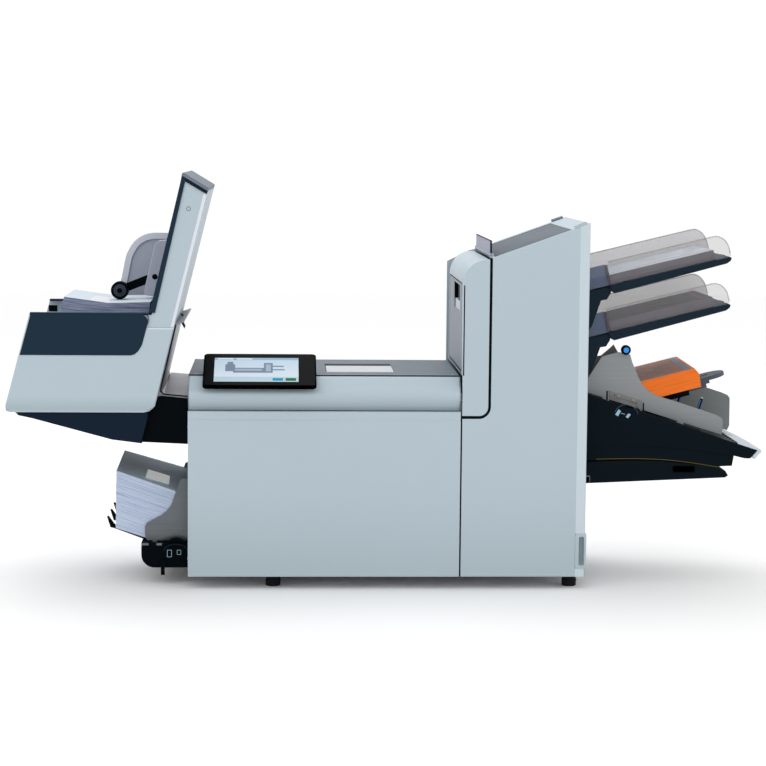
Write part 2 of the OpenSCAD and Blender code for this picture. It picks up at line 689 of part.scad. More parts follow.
module insert_thumbwheel() color("black") centred() {
    bar_y(wheel_x, wheel_z, 46, feeder_f + 5.2, feeder_f + 14.6);
    bar_y(wheel_x, wheel_z, 6, feeder_f + 2.2, feeder_f + 27);
}

// Envelope hopper
hopper_f = mid_depth - 150;
hopper_r = frame_r - 17;
hopper_x = -97;
hopper_z = floor_z + 59;
envelope_f = mid_depth - envelope_l / 2;
envelope_r = mid_depth + envelope_l / 2;
hopper_travel = 12;
hwheel_x = -27;
hwheel_z = floor_z + 47;

module hopper_outline(d) {
    polygon(concat(
        [[60, hopper_z - 2 - d], [60, floor_z + 8.5 + d]],
        [for (a = [-90:-15:-180]) [
            hopper_x + 26 + (26 - d) * cos(a), floor_z + 34.5 + (26 - d) * sin(a)]],
        [[hopper_x + d, hopper_z - d]]
    ));
}

module hopper_base() color("black") centred() difference() {
    union() {
        along_y(hopper_f, hopper_r) difference() {
            hopper_outline(0);
            hopper_outline(3);
        }
        for (y = [hopper_f, hopper_r - 3]) along_y(y, y + 3) hopper_outline(0);
        // Pads that stand on the base plate
        for (y = [hopper_f + 45, hopper_r - 55]) block(20, 50, y, y + 10, floor_z + 2, floor_z + 9);
        block(hwheel_x - 6, hwheel_x + 6, hopper_f + 20, hopper_f + 23, floor_z + 11, hwheel_z + 8);
        block(hwheel_x - 8, hwheel_x + 8, hopper_f + 3, hopper_f + 4.5, hwheel_z - 8, hwheel_z + 8);
        // Ramp bars that carry the envelopes and end in fingers beside them
        for (y = [mid_depth - 92, mid_depth - 4, mid_depth + 84]) along_y(y, y + 8) polygon([
            [hopper_x + 3, hopper_z - 2], [-73, hopper_z - 2], [-73, hopper_z - 0.3],
            [-153, envelope_z(-153) - 0.3], [-157, envelope_z(-153) + 4], [-168, hopper_z + 46],
            [-171, hopper_z + 45], [-164, envelope_z(-153) - 4], [-158, envelope_z(-153) - 5]
        ]);
    }
    for (x = [-76, -18])
        for (y = [envelope_f - 2 - plate_t - hopper_travel - gap, envelope_r + 2 - gap])
            translate([x - gap, y, hopper_z - 10])
                cube([10 + 2 * gap, plate_t + hopper_travel + 2 * gap, 16]);
    block(hwheel_x - 25, hwheel_x + 25, hopper_f + 4.5, hopper_f + 14.2, hwheel_z, hopper_z + 20);
    bar_y(hwheel_x, hwheel_z, 6 + 2 * run_gap, hopper_f + 1.5, hopper_f + 24);
    bar_y(lever_x, lever_z, 5 + 2 * run_gap, hopper_f - 1, hopper_f + 30);
}

// Underside of the envelope stack where it lies on the ramp bars
function envelope_z(x) = hopper_z - (x + 73) * tan(hopper_tilt);

// The stack is higher at the rear
module envelope_slice(y, left_rise, right_rise) {
    along_y(y, y + 0.2) polygon([
        [-151, envelope_z(-151)], [-73, hopper_z], [2, hopper_z], [4, hopper_z + 91 + right_rise],
        [-149.5, envelope_z(-150) + 119.5 + left_rise]
    ]);
}

module envelope_stack() color("aliceblue") centred() hull() {
    envelope_slice(envelope_f, 0, 0);
    envelope_slice(envelope_r - 0.2, 9.5, 20);
}

module hopper_plate_outline() {
    polygon([
        [8, hopper_z + 1], [8, floor_z + 190], [-14, floor_z + 188], [-19, floor_z + 186],
        [-25.8, floor_z + 168], [-37, floor_z + 134], [-46, floor_z + 122], [-57, floor_z + 113],
        [-88, floor_z + 96], [-91, floor_z + 88], [-91, floor_z + 72], [-87, hopper_z + 1]
    ]);
}

module hopper_guide(y) {
    along_y(y, y + plate_t) hopper_plate_outline();
    for (x = [-76, -18]) block(x, x + 10, y, y + plate_t, hopper_z - 9, hopper_z + 2);
}

module hopper_guide_front() color("dimgray") centred() hopper_guide(envelope_f - 2 - plate_t);

module hopper_guide_rear() color("dimgray") centred() hopper_guide(envelope_r + 2);

module hopper_thumbwheel() color("black") centred() {
    bar_y(hwheel_x, hwheel_z, 44, hopper_f + 5.2, hopper_f + 13.2);
    bar_y(hwheel_x, hwheel_z, 6, hopper_f + 2.2, hopper_f + 22);
}

lever_x = -53;
lever_z = floor_z + 20;
module hopper_lever() color("black") centred() {
    bar_y(lever_x, lever_z, 5, hopper_f - 4, hopper_f + 12);
    bar_y(lever_x, lever_z, 12, hopper_f - 6, hopper_f - 0.5);
    block(lever_x - 4, lever_x + 4, hopper_f - 6, hopper_f - 2, floor_z - 6, lever_z);
}

// Stacker and its mount
stack_y0 = 0;
stack_y1 = stacker_depth;
sz = deck_z - 433;

module shell_outline() {
    polygon([
        [-352, sz + 359.5], [-84, sz + 359.5], [-72, sz + 364], [-65, sz + 376], [-28, sz + 530],
        [40.2, sz + 803], [-11.8, sz + 833.6], [-71.7, sz + 556], [-315, sz + 556], [-364, sz + 369],
        [-362, sz + 362]
    ]);
}

module stacker_shell() color("lightsteelblue") centred() {
    for (y = [stack_y0, stack_y1 - cheek_t]) along_y(y, y + cheek_t) shell_outline();
    // Floor, low left wall and right wall with the column's outer face
    along_y(stack_y0 + cheek_t, stack_y1 - cheek_t) polygon([
        [-352, sz + 359.5], [-84, sz + 359.5], [-72, sz + 364], [-65, sz + 376], [-28, sz + 530],
        [40.2, sz + 803], [36, sz + 805.4], [-31, sz + 531], [-68, sz + 377], [-74, sz + 366.5],
        [-85, sz + 362.5], [-350, sz + 362.5], [-360, sz + 369], [-338, sz + 455], [-341, sz + 457],
        [-364, sz + 369], [-362, sz + 362]
    ]);
}

// Slope of the bed, square to the backing plate
bed_tilt = 12.5;
function bed_z(x) = sz + 412 - (x + 80) * tan(bed_tilt);
module bed_frame() {
    translate([-80, 0, sz + 412]) rotate([0, bed_tilt, 0]) children();
}

module stacker_bed() color("dimgray") centred() {
    bed_frame() translate([-262, stack_y0 + cheek_t, -4]) cube([258, stacker_depth - 2 * cheek_t, 4]);
    // Ribs under the bed, down to the floor of the shell
    for (y = [60, 336]) along_y(y, y + 4) polygon([
        [-330, sz + 362.5], [-90, sz + 362.5], [-90, bed_z(-90) - 3], [-330, bed_z(-330) - 3]
    ]);
}

module stacker_band() color("darkslategray") centred() {
    along_y(stack_y0 - 1.5, stack_y0) polygon([
        [-334, sz + 475], [-114, sz + 475], [-106, sz + 477], [-98, sz + 484], [-91, sz + 496],
        [-79, sz + 540], [-79, sz + 546], [-82, sz + 552], [-88, sz + 556], [-312, sz + 556]
    ]);
    // Rail along the top edge
    along_y(stack_y0 - 1.5, stack_y0 + 14) polygon([
        [-314, sz + 556], [-77, sz + 556], [-77, sz + 560], [-313, sz + 560]
    ]);
}

module backing_plate() color("darkslategray") centred() {
    along_y(stack_y0 + cheek_t, stack_y1 - cheek_t) polygon([
        [-103, bed_z(-103)], [-98, bed_z(-98)], [-7, sz + 833], [-11, sz + 836]
    ]);
    // Edge strip in front of the cheek and the cap on top
    along_y(stack_y0 - 1, stack_y0) polygon([
        [-76, sz + 560.2], [-65, sz + 560.2], [-4, sz + 826], [-11, sz + 836]
    ]);
    along_y(stack_y0 - 1, stack_y1) polygon([
        [-12.2, sz + 833.84], [40.2, sz + 803], [42.4, sz + 809.5], [-10, sz + 841]
    ]);
    // Front edge of the cap, hanging over the shell
    along_y(stack_y0 - 1, stack_y0) polygon([
        [-13, sz + 827], [38, sz + 797], [42.4, sz + 809.5], [-10, sz + 841]
    ]);
    // Two cheeks that carry the pivot of the hold-down arm
    difference() {
        for (y = [arm_y - 13, arm_y + 12.6]) along_y(y, y + 12.4) polygon([
            [plate_x(580) + 2, sz + 578], [plate_x(580) - 33, sz + 584], [plate_x(690) - 33, sz + 688],
            [plate_x(696) - 26, sz + 696], [plate_x(696) + 2, sz + 698]
        ]);
        bar_y(arm_x, arm_z, 8 + 2 * run_gap, arm_y - 14, arm_y + 26);
    }
}

// Left face of the backing plate at a height, given for the standard deck height
function plate_x(z) = -103 + (z - 417) * 92 / 419;

module rear_guard() color("lightsteelblue") centred() {
    along_y(stack_y1 - cheek_t - 12, stack_y1 - cheek_t) polygon([
        [-172, sz + 556], [-168, sz + 570], [-158, sz + 610], [-150, sz + 650], [-143, sz + 668],
        [-131, sz + 686], [-113, sz + 699], [-91, sz + 705], [-48, sz + 705], [-80, sz + 556]
    ]);
    // Rear rail
    along_y(stack_y1 - cheek_t - 16, stack_y1 - cheek_t + 2) polygon([
        [-314, sz + 556], [-168, sz + 556], [-168, sz + 561], [-313, sz + 561]
    ]);
}

arm_x = -76;
arm_z = sz + 621.5;
hub_x = -148;
hub_z = sz + 593.2;
// Front face of the arm, halfway along the envelopes
arm_y = mid_depth - 4;

// Frame of the arm: X from the wheel hub to the pivot, Z to the front, origin at its rear face
arm_turn = atan2(arm_z - hub_z, arm_x - hub_x);
arm_l = norm([arm_x - hub_x, arm_z - hub_z]);
module arm_frame() {
    translate([hub_x, arm_y + 12, hub_z]) rotate([90, -arm_turn, 0]) children();
}

module hold_arm() color("black") centred() arm_frame() {
    translate([0, -8.5, 0]) cube([arm_l, 17, 12]);
    cylinder(h = 12, d = 17.4, $fn = 40);
    translate([arm_l, 0, 0]) cylinder(h = 12, d = 18, $fn = 40);
    // Pivot pin in the two cheeks
    translate([arm_l, 0, -11.5]) cylinder(h = 35, d = 8, $fn = 40);
    // Axle of the wheel with its end cap
    translate([0, 0, 6]) cylinder(h = 30, d = 6, $fn = 40);
    translate([0, 0, 35.5]) cylinder(h = 3, d = 11, $fn = 40);
}

module hold_wheel() color("midnightblue") centred() difference() {
    bar_y(hub_x, hub_z, 2 * wheel_r, arm_y - 23, arm_y - 0.5);
    bar_y(hub_x, hub_z, 6 + 2 * run_gap, arm_y - 24, arm_y + 1);
}

// The envelopes sag where the wheel rests, and a hairline divides the stack there
module output_stack() color("white") centred() difference() {
    along_y(mid_depth - 115, mid_depth + 115) polygon([
        [-290, sz + 458.6], [-104, sz + 417.5], [-74, sz + 553], [-82, sz + 577], [-108, sz + 575],
        [-140, sz + 574], [-165, sz + 573.5], [-190, sz + 577], [-254, sz + 586]
    ]);
    block(-165.2, -164.8, 0, case_depth, sz + 400, sz + 600);
}

module stacker_mount() color("black") centred() {
    // Wedge under the shell
    difference() {
        along_y(stack_y0 + 8, stack_y1 - 8) polygon([
            [-346, sz + 359.5], [-340, sz + 354.5], [-284, sz + 339.5], [-152, sz + 304],
            [-92.4, sz + 296.5], [-79, sz + 350], [-79, sz + 359.5]
        ]);
        along_y(stack_y0 + 12, stack_y1 - 12) polygon([
            [-334, sz + 356], [-283, sz + 342.8], [-152, sz + 307.4], [-97, sz + 300.4], [-84, sz + 352],
            [-84, sz + 356]
        ]);
    }
    // Box that stands against the body and takes the stacker's load
    difference() {
        along_y(stack_y0 + 30, stack_y1 - 22) polygon([
            [-92.4, sz + 296.5], [-6, sz + 292.7], [8, sz + 292.7], [8, sz + 385.3], [-8, sz + 385.5],
            [-52, sz + 390], [-61.8, sz + 389], [-65, sz + 376], [-72, sz + 364], [-79, sz + 359.5],
            [-79, sz + 350]
        ]);
        along_y(stack_y0 + 34, stack_y1 - 26) polygon([
            [-86, sz + 300.5], [-6, sz + 297], [4, sz + 297], [4, sz + 374], [-8, sz + 375],
            [-50, sz + 384], [-57, sz + 380], [-68, sz + 360], [-74, sz + 350]
        ]);
    }
}

module exit_chute() color("silver") centred() {
    along_y(stack_y0 + 34, stack_y1 - 24) polygon([
        [-28, sz + 530], [-61.8, sz + 389], [-52, sz + 390], [-8, sz + 385.5], [8, sz + 385.3],
        [8, sz + 388], [-8, sz + 390], [-47, sz + 393.5], [-53, sz + 398], [-55, sz + 406],
        [-24.5, sz + 534], [-8, sz + 540], [-9, sz + 543], [-26.2, sz + 537]
    ]);
    // Floor that rises a little to the rear
    hull() {
        along_y(stack_y0 + 34, stack_y0 + 34.2) polygon([
            [-48, sz + 392], [-48, sz + 394], [8, sz + 389.5], [8, sz + 387]
        ]);
        along_y(stack_y1 - 24.2, stack_y1 - 24) polygon([
            [-48, sz + 392], [-52, sz + 403], [8, sz + 398.5], [8, sz + 387]
        ]);
    }
}

// Drive and electrics
motor_x = 440;
motor_z = 150;
motor_d = 76;
pulley_y0 = frame_r + frame_t + 4;
pulley_y1 = pulley_y0 + 12;

module main_motor() color("dimgray") centred() difference() {
    union() {
        bar_y(motor_x, motor_z, motor_d, frame_r - 92, frame_r);
        bar_y(motor_x, motor_z, 22, frame_r, frame_r + frame_t);
    }
    bar_y(motor_x, motor_z, 8 + 2 * run_gap, frame_r - 20, frame_r + frame_t + 1);
}

module motor_pulley() color("silver") centred() {
    bar_y(motor_x, motor_z, 8, frame_r - 19, pulley_y0 + 1);
    bar_y(motor_x, motor_z, 26, pulley_y0, pulley_y1);
}

belt_in = 15;
belt_turn = atan2(fold_z - motor_z, fold_x + fold_pitch - motor_x);
belt_run = norm([fold_x + fold_pitch - motor_x, fold_z - motor_z]);

// Frame along the belt: X from the motor to the fold roller, Z to the rear
module belt_frame(y) {
    translate([motor_x, y, motor_z]) rotate([-90, belt_turn, 0]) children();
}

module drive_belt() color("black") centred() belt_frame(pulley_y0 + 1) linear_extrude(height = 10) {
    difference() {
        union() {
            translate([0, -belt_in]) square([belt_run, 2 * belt_in]);
            circle(r = belt_in, $fn = 48);
            translate([belt_run, 0]) circle(r = belt_in, $fn = 48);
        }
        translate([0, 1.6 - belt_in]) square([belt_run, 2 * belt_in - 3.2]);
        circle(r = belt_in - 1.6, $fn = 48);
        translate([belt_run, 0]) circle(r = belt_in - 1.6, $fn = 48);
    }
}

inlet_x = 95;
inlet_z = 70;
module power_supply() color("silver") centred() difference() {
    union() {
        block(inlet_x - 20, inlet_x + 60, 200, frame_r - 2, floor_z + 2, floor_z + 52);
        // Mains inlet on its rear end, reaching through the frame and the rear cover
        block(inlet_x - 13.5, inlet_x + 13.5, frame_r - 3, rear_y, inlet_z - 9.5, inlet_z + 9.5);
        block(inlet_x - 17, inlet_x + 17, rear_y, rear_y + 2, inlet_z - 13, inlet_z + 13);
    }
    difference() {
        block(inlet_x - 11.5, inlet_x + 11.5, rear_y - 16, rear_y + 3, inlet_z - 7.5, inlet_z + 7.5);
        for (p = [[-7, -1], [0, 2], [7, -1]])
            translate([inlet_x + p[0] - 1, rear_y - 17, inlet_z + p[1] - 2]) cube([2, 14, 4]);
    }
}

rocker_x = inlet_x + 41;
module power_rocker() color("black") centred() {
    translate([rocker_x, rear_y - 4, inlet_z]) rotate([5, 0, 0]) translate([-10, -2, -11]) cube([20, 6, 22]);
    bar_x(rear_y - 4, inlet_z, 5, rocker_x - 12.4, rocker_x + 12.4);
}

module fold_plate() color("silver") centred() {
    // Two parallel plates with a stop between them, above the fold rollers
    translate([fold_x + fold_d / 2 + 2, 0, fold_z + 32]) rotate([0, -62, 0]) {
        translate([0, frame_f + frame_t, 0]) cube([120, frame_r - frame_f - frame_t, 1.5]);
        translate([0, frame_f + frame_t, 5]) cube([120, frame_r - frame_f - frame_t, 1.5]);
        translate([112, frame_f + frame_t, 1.5]) cube([6, frame_r - frame_f - frame_t, 3.5]);
    }
}

// Roller on a shaft through both side frames, with a pulley behind the rear one
module roller(x, z, d, pulley_d) {
    bar_y(x, z, d, frame_f + frame_t + 2, frame_r - 2);
    bar_y(x, z, shaft_d, frame_f - 5, pulley_y0);
    bar_y(x, z, pulley_d, pulley_y0, pulley_y1);
}

module fold_roller_a() color("dimgray") centred() roller(fold_x, fold_z, fold_d, 16);

module fold_roller_b() color("dimgray") centred() roller(fold_x + fold_pitch, fold_z, fold_d, 26);

// Feed roller with three rubber tyres
module feed_roller(z) {
    bar_y(feed_x, z, shaft_d, frame_f - 5, frame_r + frame_t + 5);
    for (y = [mid_depth - 75, mid_depth - 15, mid_depth + 45]) bar_y(feed_x, z, 40, y, y + 30);
    bar_y(feed_x, z, 18, frame_r + frame_t + 1, frame_r + frame_t + 5);
}

module feed_roller_upper() color("dimgray") centred() feed_roller(feed_up_z);

module feed_roller_lower() color("dimgray") centred() feed_roller(feed_low_z);

// Lift-up cover with deck and touchscreen
module cover_outline(d) {
    // Cove under the nose, shoulder and deck, in Y and Z
    polygon([
        [14 + d, cove_z + 1.5], [11 + d, cove_z + 5], [6 + d, cove_z + 14], [2 + d, cove_z + 27],
        [0 + d, cove_z + 34], [1.5 + d, cove_z + 39 - d / 2], [36 + d / 2, deck_z - d],
        [axle_y - 6, deck_z - d], [axle_y + 1, deck_z - 2 - d], [axle_y + 4 - d, deck_z - 5],
        [axle_y + 2 - d, deck_z - 9], [axle_y - 4 - d, deck_z - 10], [axle_y - 4 - d, cove_z + 1.5]
    ]);
}

module top_cover() color("lightsteelblue") centred() difference() {
    union() {
        difference() {
            union() {
                along_x(0.4, seam_x - 2.6) difference() {
                    cover_outline(0);
                    cover_outline(skin);
                }
                along_x(0.4, 0.4 + skin) cover_outline(0);
                along_x(seam_x - 2.6 - skin, seam_x - 2.6) cover_outline(0);
                // Ledge under the deck plate
                block(1, seam_x - 3, 30, axle_y - 8, deck_z - 2 - skin, deck_z - 2);
                // Hinge cheeks
                for (x = hinge_x) for (e = [x - 5, x + 40])
                    block(e, e + 5, axle_y - 6, axle_y + 3, deck_z - 9.4, deck_z - 2.4);
            }
            // Seat of the deck plate
            block(-1, seam_x, 38.8, rear_y - 40, deck_z - 2, deck_z + 1);
        }
        // Lugs of the touchscreen joint
        for (x = [lug_x0, lug_x1]) block(x, x + 6, lug_y - 7, lug_y + 7, deck_z - 4, lug_z + 5);
    }
    // Notch for the mount and the chute in the left wall
    block(-2, 10, 26, 382, cove_z - 5, deck_z - 12);
    bar_x(lug_y, lug_z, 5 + 2 * run_gap, lug_x0 - 1, lug_x1 + 7);
    // Notches and pin holes of the rear hinges
    for (x = hinge_x) {
        block(x, x + 40, axle_y - 7.9, axle_y + 5, deck_z - 40, deck_z + 1);
        bar_x(axle_y, axle_z, 4 + 2 * run_gap, x - 4.5, x + 44.5);
    }
    // The rear wall and the right wall end above the side frames
    block(5, seam_x, frame_f - 4, axle_y + 5, cove_z - 5, deck_z - 34);
}

module deck_plate() color("slategray") centred() difference() {
    block(0.4, seam_x - 2.6, 38.8, rear_y - 40, deck_z - 2, deck_z);
    // Window recess
    block(279, 419, 105, 276, deck_z - 0.8, deck_z + 1);
    // Clearance round the lugs
    for (x = [lug_x0, lug_x1])
        block(x - 0.2, x + 6.2, lug_y - 7.2, lug_y + 7.2, deck_z - 3, deck_z + 1);
}

lug_x0 = screen_x + screen_w / 2 - 40;
lug_x1 = screen_x + screen_w / 2 + 34;
lug_y = 84;
lug_z = deck_z + 11.5;

// Frame of the touchscreen: Y up its slope, Z square to it, origin at the lower rear edge
module screen_frame() {
    translate([screen_x, screen_y, screen_z]) rotate([screen_tilt, 0, 0]) children();
}

screen_r = 9;
module round_slab(w, l, r, z0, z1) {
    translate([r, r, z0]) linear_extrude(height = z1 - z0) offset(r = r, $fn = 24)
        square([w - 2 * r, l - 2 * r]);
}

module touchscreen() color("black") centred() {
    screen_frame() difference() {
        round_slab(screen_w, screen_l, screen_r, 0, screen_t);
        translate([3, 3, screen_t - 1.6]) cube([screen_w - 6, screen_l - 6, 3]);
    }
    // Knuckle between the lugs
    difference() {
        union() {
            block(lug_x0 + 6 + gap, lug_x1 - gap, lug_y - 5, lug_y + 5, lug_z - 2, lug_z + 24);
            bar_x(lug_y, lug_z, 11, lug_x0 + 6 + gap, lug_x1 - gap);
            bar_x(lug_y, lug_z, 5, lug_x0 + 0.5, lug_x1 + 5.5);
        }
        screen_frame() cube([screen_w, screen_l, 50]);
    }
}

module screen_glass() color("black") centred() screen_frame()
    translate([3, 3, screen_t - 1.6]) cube([screen_w - 6, screen_l - 6, 1.6]);

base_plate();
feet();
side_frame_front();
side_frame_rear();
front_panel();
tower_panel();
left_cover();
rear_cover();
right_cover();
column_cover();
hand_feed_plate();
tray_upper();
tray_lower();
sheets_upper();
sheets_lower();
feeder_housing();
feeder_end_tray();
insert_stack();
hopper_base();
envelope_stack();
stacker_mount();
exit_chute();
stacker_shell();
stacker_bed();
stacker_band();
backing_plate();
rear_guard();
output_stack();
main_motor();
motor_pulley();
drive_belt();
power_supply();
fold_plate();
top_cover();
deck_plate();
touchscreen();
screen_glass();
access_door();
paper_stop();
hold_arm();
hold_wheel();
upper_guide_front();
upper_guide_rear();
lower_guide_front();
lower_guide_rear();
insert_guide_front();
insert_guide_rear();
insert_thumbwheel();
clamp_knob();
stack_support();
lower_flap();
hopper_guide_front();
hopper_guide_rear();
hopper_thumbwheel();
hopper_lever();
power_rocker();
fold_roller_a();
fold_roller_b();
feed_roller_upper();
feed_roller_lower();
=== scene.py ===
"""Looks of the tabletop folder inserter, laid out as a Blender add-on and run as a script.

Places are given in machine millimetres: X from the left wall of the folding body, Y from its front panel,
Z up from the table. The function place() turns them into metres of the shared frame.
"""

import json
import math

import bmesh
import bpy
import numpy as np
from mathutils import Matrix, Vector

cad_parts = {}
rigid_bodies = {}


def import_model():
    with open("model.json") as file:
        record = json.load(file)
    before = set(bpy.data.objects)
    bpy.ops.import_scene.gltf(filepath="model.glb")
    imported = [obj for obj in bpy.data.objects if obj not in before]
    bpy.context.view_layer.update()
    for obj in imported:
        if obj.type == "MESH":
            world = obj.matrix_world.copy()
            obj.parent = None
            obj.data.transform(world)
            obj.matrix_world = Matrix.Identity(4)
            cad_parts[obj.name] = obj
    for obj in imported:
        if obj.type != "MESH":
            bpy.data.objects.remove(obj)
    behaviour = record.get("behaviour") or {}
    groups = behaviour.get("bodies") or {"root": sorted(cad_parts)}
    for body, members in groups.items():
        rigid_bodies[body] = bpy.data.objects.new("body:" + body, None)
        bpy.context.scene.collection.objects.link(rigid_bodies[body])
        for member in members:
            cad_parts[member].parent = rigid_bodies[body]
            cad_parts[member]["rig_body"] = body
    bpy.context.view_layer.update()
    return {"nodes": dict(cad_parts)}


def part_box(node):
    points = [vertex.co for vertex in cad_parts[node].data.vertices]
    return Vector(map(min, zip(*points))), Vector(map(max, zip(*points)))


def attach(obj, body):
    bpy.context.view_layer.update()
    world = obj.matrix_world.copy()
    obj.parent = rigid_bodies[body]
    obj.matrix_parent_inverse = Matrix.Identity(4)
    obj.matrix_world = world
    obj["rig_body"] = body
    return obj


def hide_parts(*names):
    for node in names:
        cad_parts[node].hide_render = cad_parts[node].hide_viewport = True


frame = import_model()

bl_info = {
    "name": "Folder inserter looks",
    "version": (1, 0, 0),
    "blender": (4, 5, 0),
    "location": "3D View > Sidebar > Inserter",
    "description": "Finishes and fine pieces of a tabletop folder inserter",
    "category": "Object",
}

# Left front lower corner of the folding body in the shared frame
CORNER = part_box("front_panel")[0]
# Top of the deck plate, and the right wall of the tower
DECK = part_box("deck_plate")[1].z * 1000
RIGHT = (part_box("tower_panel")[1].x - CORNER.x) * 1000 - 2.5
# Seam between the body and the tower, and the lower edge of both
SEAM = RIGHT - 254
SILL = 26
# Steel plates of the insert feeder at the tower wall, and the slopes of deck and stack in degrees
FEEDER_Z = DECK - 36.8
DECK_FALL = 17.95
INSERT_TILT = 14.5
# Upper document tray at the tower wall, the step down to the lower one, and their slope
TRAY_Z = 602.5
TRAY_STEP = 96.7
TRAY_TILT = 13.8
# Sloping top of the tower: its left end, its height at the right wall, and its slope
TOWER_X = 610
TOWER_Z = 745
TOP_SLOPE = 19.9
HOPPER_TILT = 18.4
SCREEN_TILT = 24


def place(points):
    """Machine millimetres to frame metres: the corner is added after dividing by a thousand."""
    p = np.asarray(points, float) / 1000
    return p + np.array([CORNER.x, CORNER.y, 0.0])


def srgb(r, g, b):
    """Screen colour from 0 to 255 as a linear colour."""
    c = np.array([r, g, b]) / 255
    c = np.where(c <= 0.04045, c / 12.92, ((c + 0.055) / 1.055) ** 2.4)
    return tuple(float(v) for v in c) + (1.0,)


# Surfaces worked out as arrays. Each returns (points, faces) in machine millimetres.


def joined(*parts):
    """Several surfaces as one: face numbers are shifted by the points before them."""
    points, faces, start = [], [], 0
    for p, f in parts:
        points.append(np.asarray(p, float))
        faces += [tuple(int(i) + start for i in q) for q in f]
        start += len(p)
    return np.concatenate(points), faces


def lattice(grid, wrap_u=False, wrap_v=False, cap_u=False):
    """Grid of points to quads: point (i, j) joins to (i + 1, j + 1), closing round where wrapped."""
    m, n = grid.shape[:2]
    i, j = np.meshgrid(np.arange(m if wrap_u else m - 1), np.arange(n if wrap_v else n - 1), indexing="ij")
    i, j = i.ravel(), j.ravel()
    i2, j2 = (i + 1) % m, (j + 1) % n
    quads = np.stack([i * n + j, i2 * n + j, i2 * n + j2, i * n + j2], 1)
    faces = [tuple(q) for q in quads]
    if cap_u:
        faces += [tuple(range(n))[::-1], tuple((m - 1) * n + k for k in range(n))]
    return grid.reshape(-1, 3), faces


def rounded_outline(corners, radii, steps=5):
    """Outline with rounded corners: an arc of radius r that touches both sides stands for each corner."""
    c = np.asarray(corners, float)
    r = np.broadcast_to(np.asarray(radii, float), (len(c),))
    out = []
    for k in range(len(c)):
        a, b, d = c[k - 1], c[k], c[(k + 1) % len(c)]
        u, v = (a - b) / np.linalg.norm(a - b), (d - b) / np.linalg.norm(d - b)
        half = math.acos(float(np.clip(u @ v, -1, 1))) / 2
        if r[k] <= 0 or abs(half - math.pi / 2) < 0.01:
            out.append(b[None])
            continue
        cut = min(r[k] / math.tan(half), 0.49 * np.linalg.norm(a - b), 0.49 * np.linalg.norm(d - b))
        rad = cut * math.tan(half)
        mid = b + (u + v) / np.linalg.norm(u + v) * rad / math.sin(half)
        s, e = b + u * cut - mid, b + v * cut - mid
        t = np.linspace(0, 1, steps + 1)[:, None]
        w = math.acos(float(np.clip(s @ e / rad**2, -1, 1)))
        out.append(mid + (np.sin((1 - t) * w) * s + np.sin(t * w) * e) / math.sin(w))
    return np.concatenate(out)


def drawn(outline, axis, lo, hi):
    """Closed outline drawn out along an axis from lo to hi, with flat ends."""
    o = np.asarray(outline, float)
    rows = []
    for t in (lo, hi):
        p = np.empty((len(o), 3))
        p[:, axis] = t
        p[:, [k for k in range(3) if k != axis]] = o
        rows.append(p)
    return lattice(np.array(rows), wrap_v=True, cap_u=True)


def box(x0, x1, y0, y1, z0, z1):
    """Rectangular bar between two corners."""
    return drawn([(x0, y0), (x1, y0), (x1, y1), (x0, y1)], 2, z0, z1)


def turned(profile, centre, axis, steps=48, cap=True):
    """Solid of revolution: each (radius, height) of the profile goes round the axis through centre."""
    p = np.asarray(profile, float)
    a = np.linspace(0, 2 * math.pi, steps, endpoint=False)
    u, v = [k for k in range(3) if k != axis]
    grid = np.empty((len(p), steps, 3))
    grid[..., u] = centre[u] + p[:, :1] * np.cos(a)
    grid[..., v] = centre[v] + p[:, :1] * np.sin(a)
    grid[..., axis] = centre[axis] + p[:, 1:]
    return lattice(grid, wrap_v=True, cap_u=cap)


def swept(path, section):
    """Section (across, up) carried along a path, square to its direction."""
    p = np.asarray(path, float)
    s = np.asarray(section, float)
    d = np.gradient(p, axis=0)
    d /= np.linalg.norm(d, axis=1)[:, None]
    side = np.cross(d, [0, 0, 1.0])
    side /= np.linalg.norm(side, axis=1)[:, None]
    up = np.cross(side, d)
    grid = p[:, None] + side[:, None] * s[None, :, :1] + up[:, None] * s[None, :, 1:]
    return lattice(grid, wrap_v=True, cap_u=True)


def turned_to(part, origin, angle):
    """Part turned about the depth axis, then moved to origin."""
    p, f = part
    r = np.array(Matrix.Rotation(math.radians(angle), 3, "Y"))
    return (np.asarray(p) @ r.T) + np.asarray(origin, float), f


def eased(points, steps=5):
    """Smooth curve through points: on each stretch a cubic whose slopes come from the neighbours."""
    p = np.asarray(points, float)
    q = np.concatenate([2 * p[:1] - p[1:2], p, 2 * p[-1:] - p[-2:-1]])
    a, b, c, d = (v[:, None] for v in (q[:-3], q[1:-2], q[2:-1], q[3:]))
    t = np.linspace(0, 1, steps, endpoint=False)[None, :, None]
    curve = 0.5 * (2 * b + (c - a) * t + (2 * a - 5 * b + 4 * c - d) * t**2 + (3 * b - a - 3 * c + d) * t**3)
    return np.concatenate([curve.reshape(-1, p.shape[1]), p[-1:]])


def arc(x, z, across, up, first, last, count):
    """Points on an ellipse round (x, z), from the first angle to the last in degrees."""
    a = np.radians(np.linspace(first, last, count))
    return [(x + across * math.cos(t), z + up * math.sin(t)) for t in a]


def at_depth(points, y):
    """Points (x, z) as points in space at one depth."""
    return np.insert(np.asarray(points, float), 1, y, axis=1)


def beside(line, d):
    """Curve moved to its left by d: each point goes square to the direction there."""
    step = np.gradient(line, axis=0)
    step /= np.linalg.norm(step, axis=1)[:, None]
    return line + np.column_stack([-step[:, 1], step[:, 0]]) * d


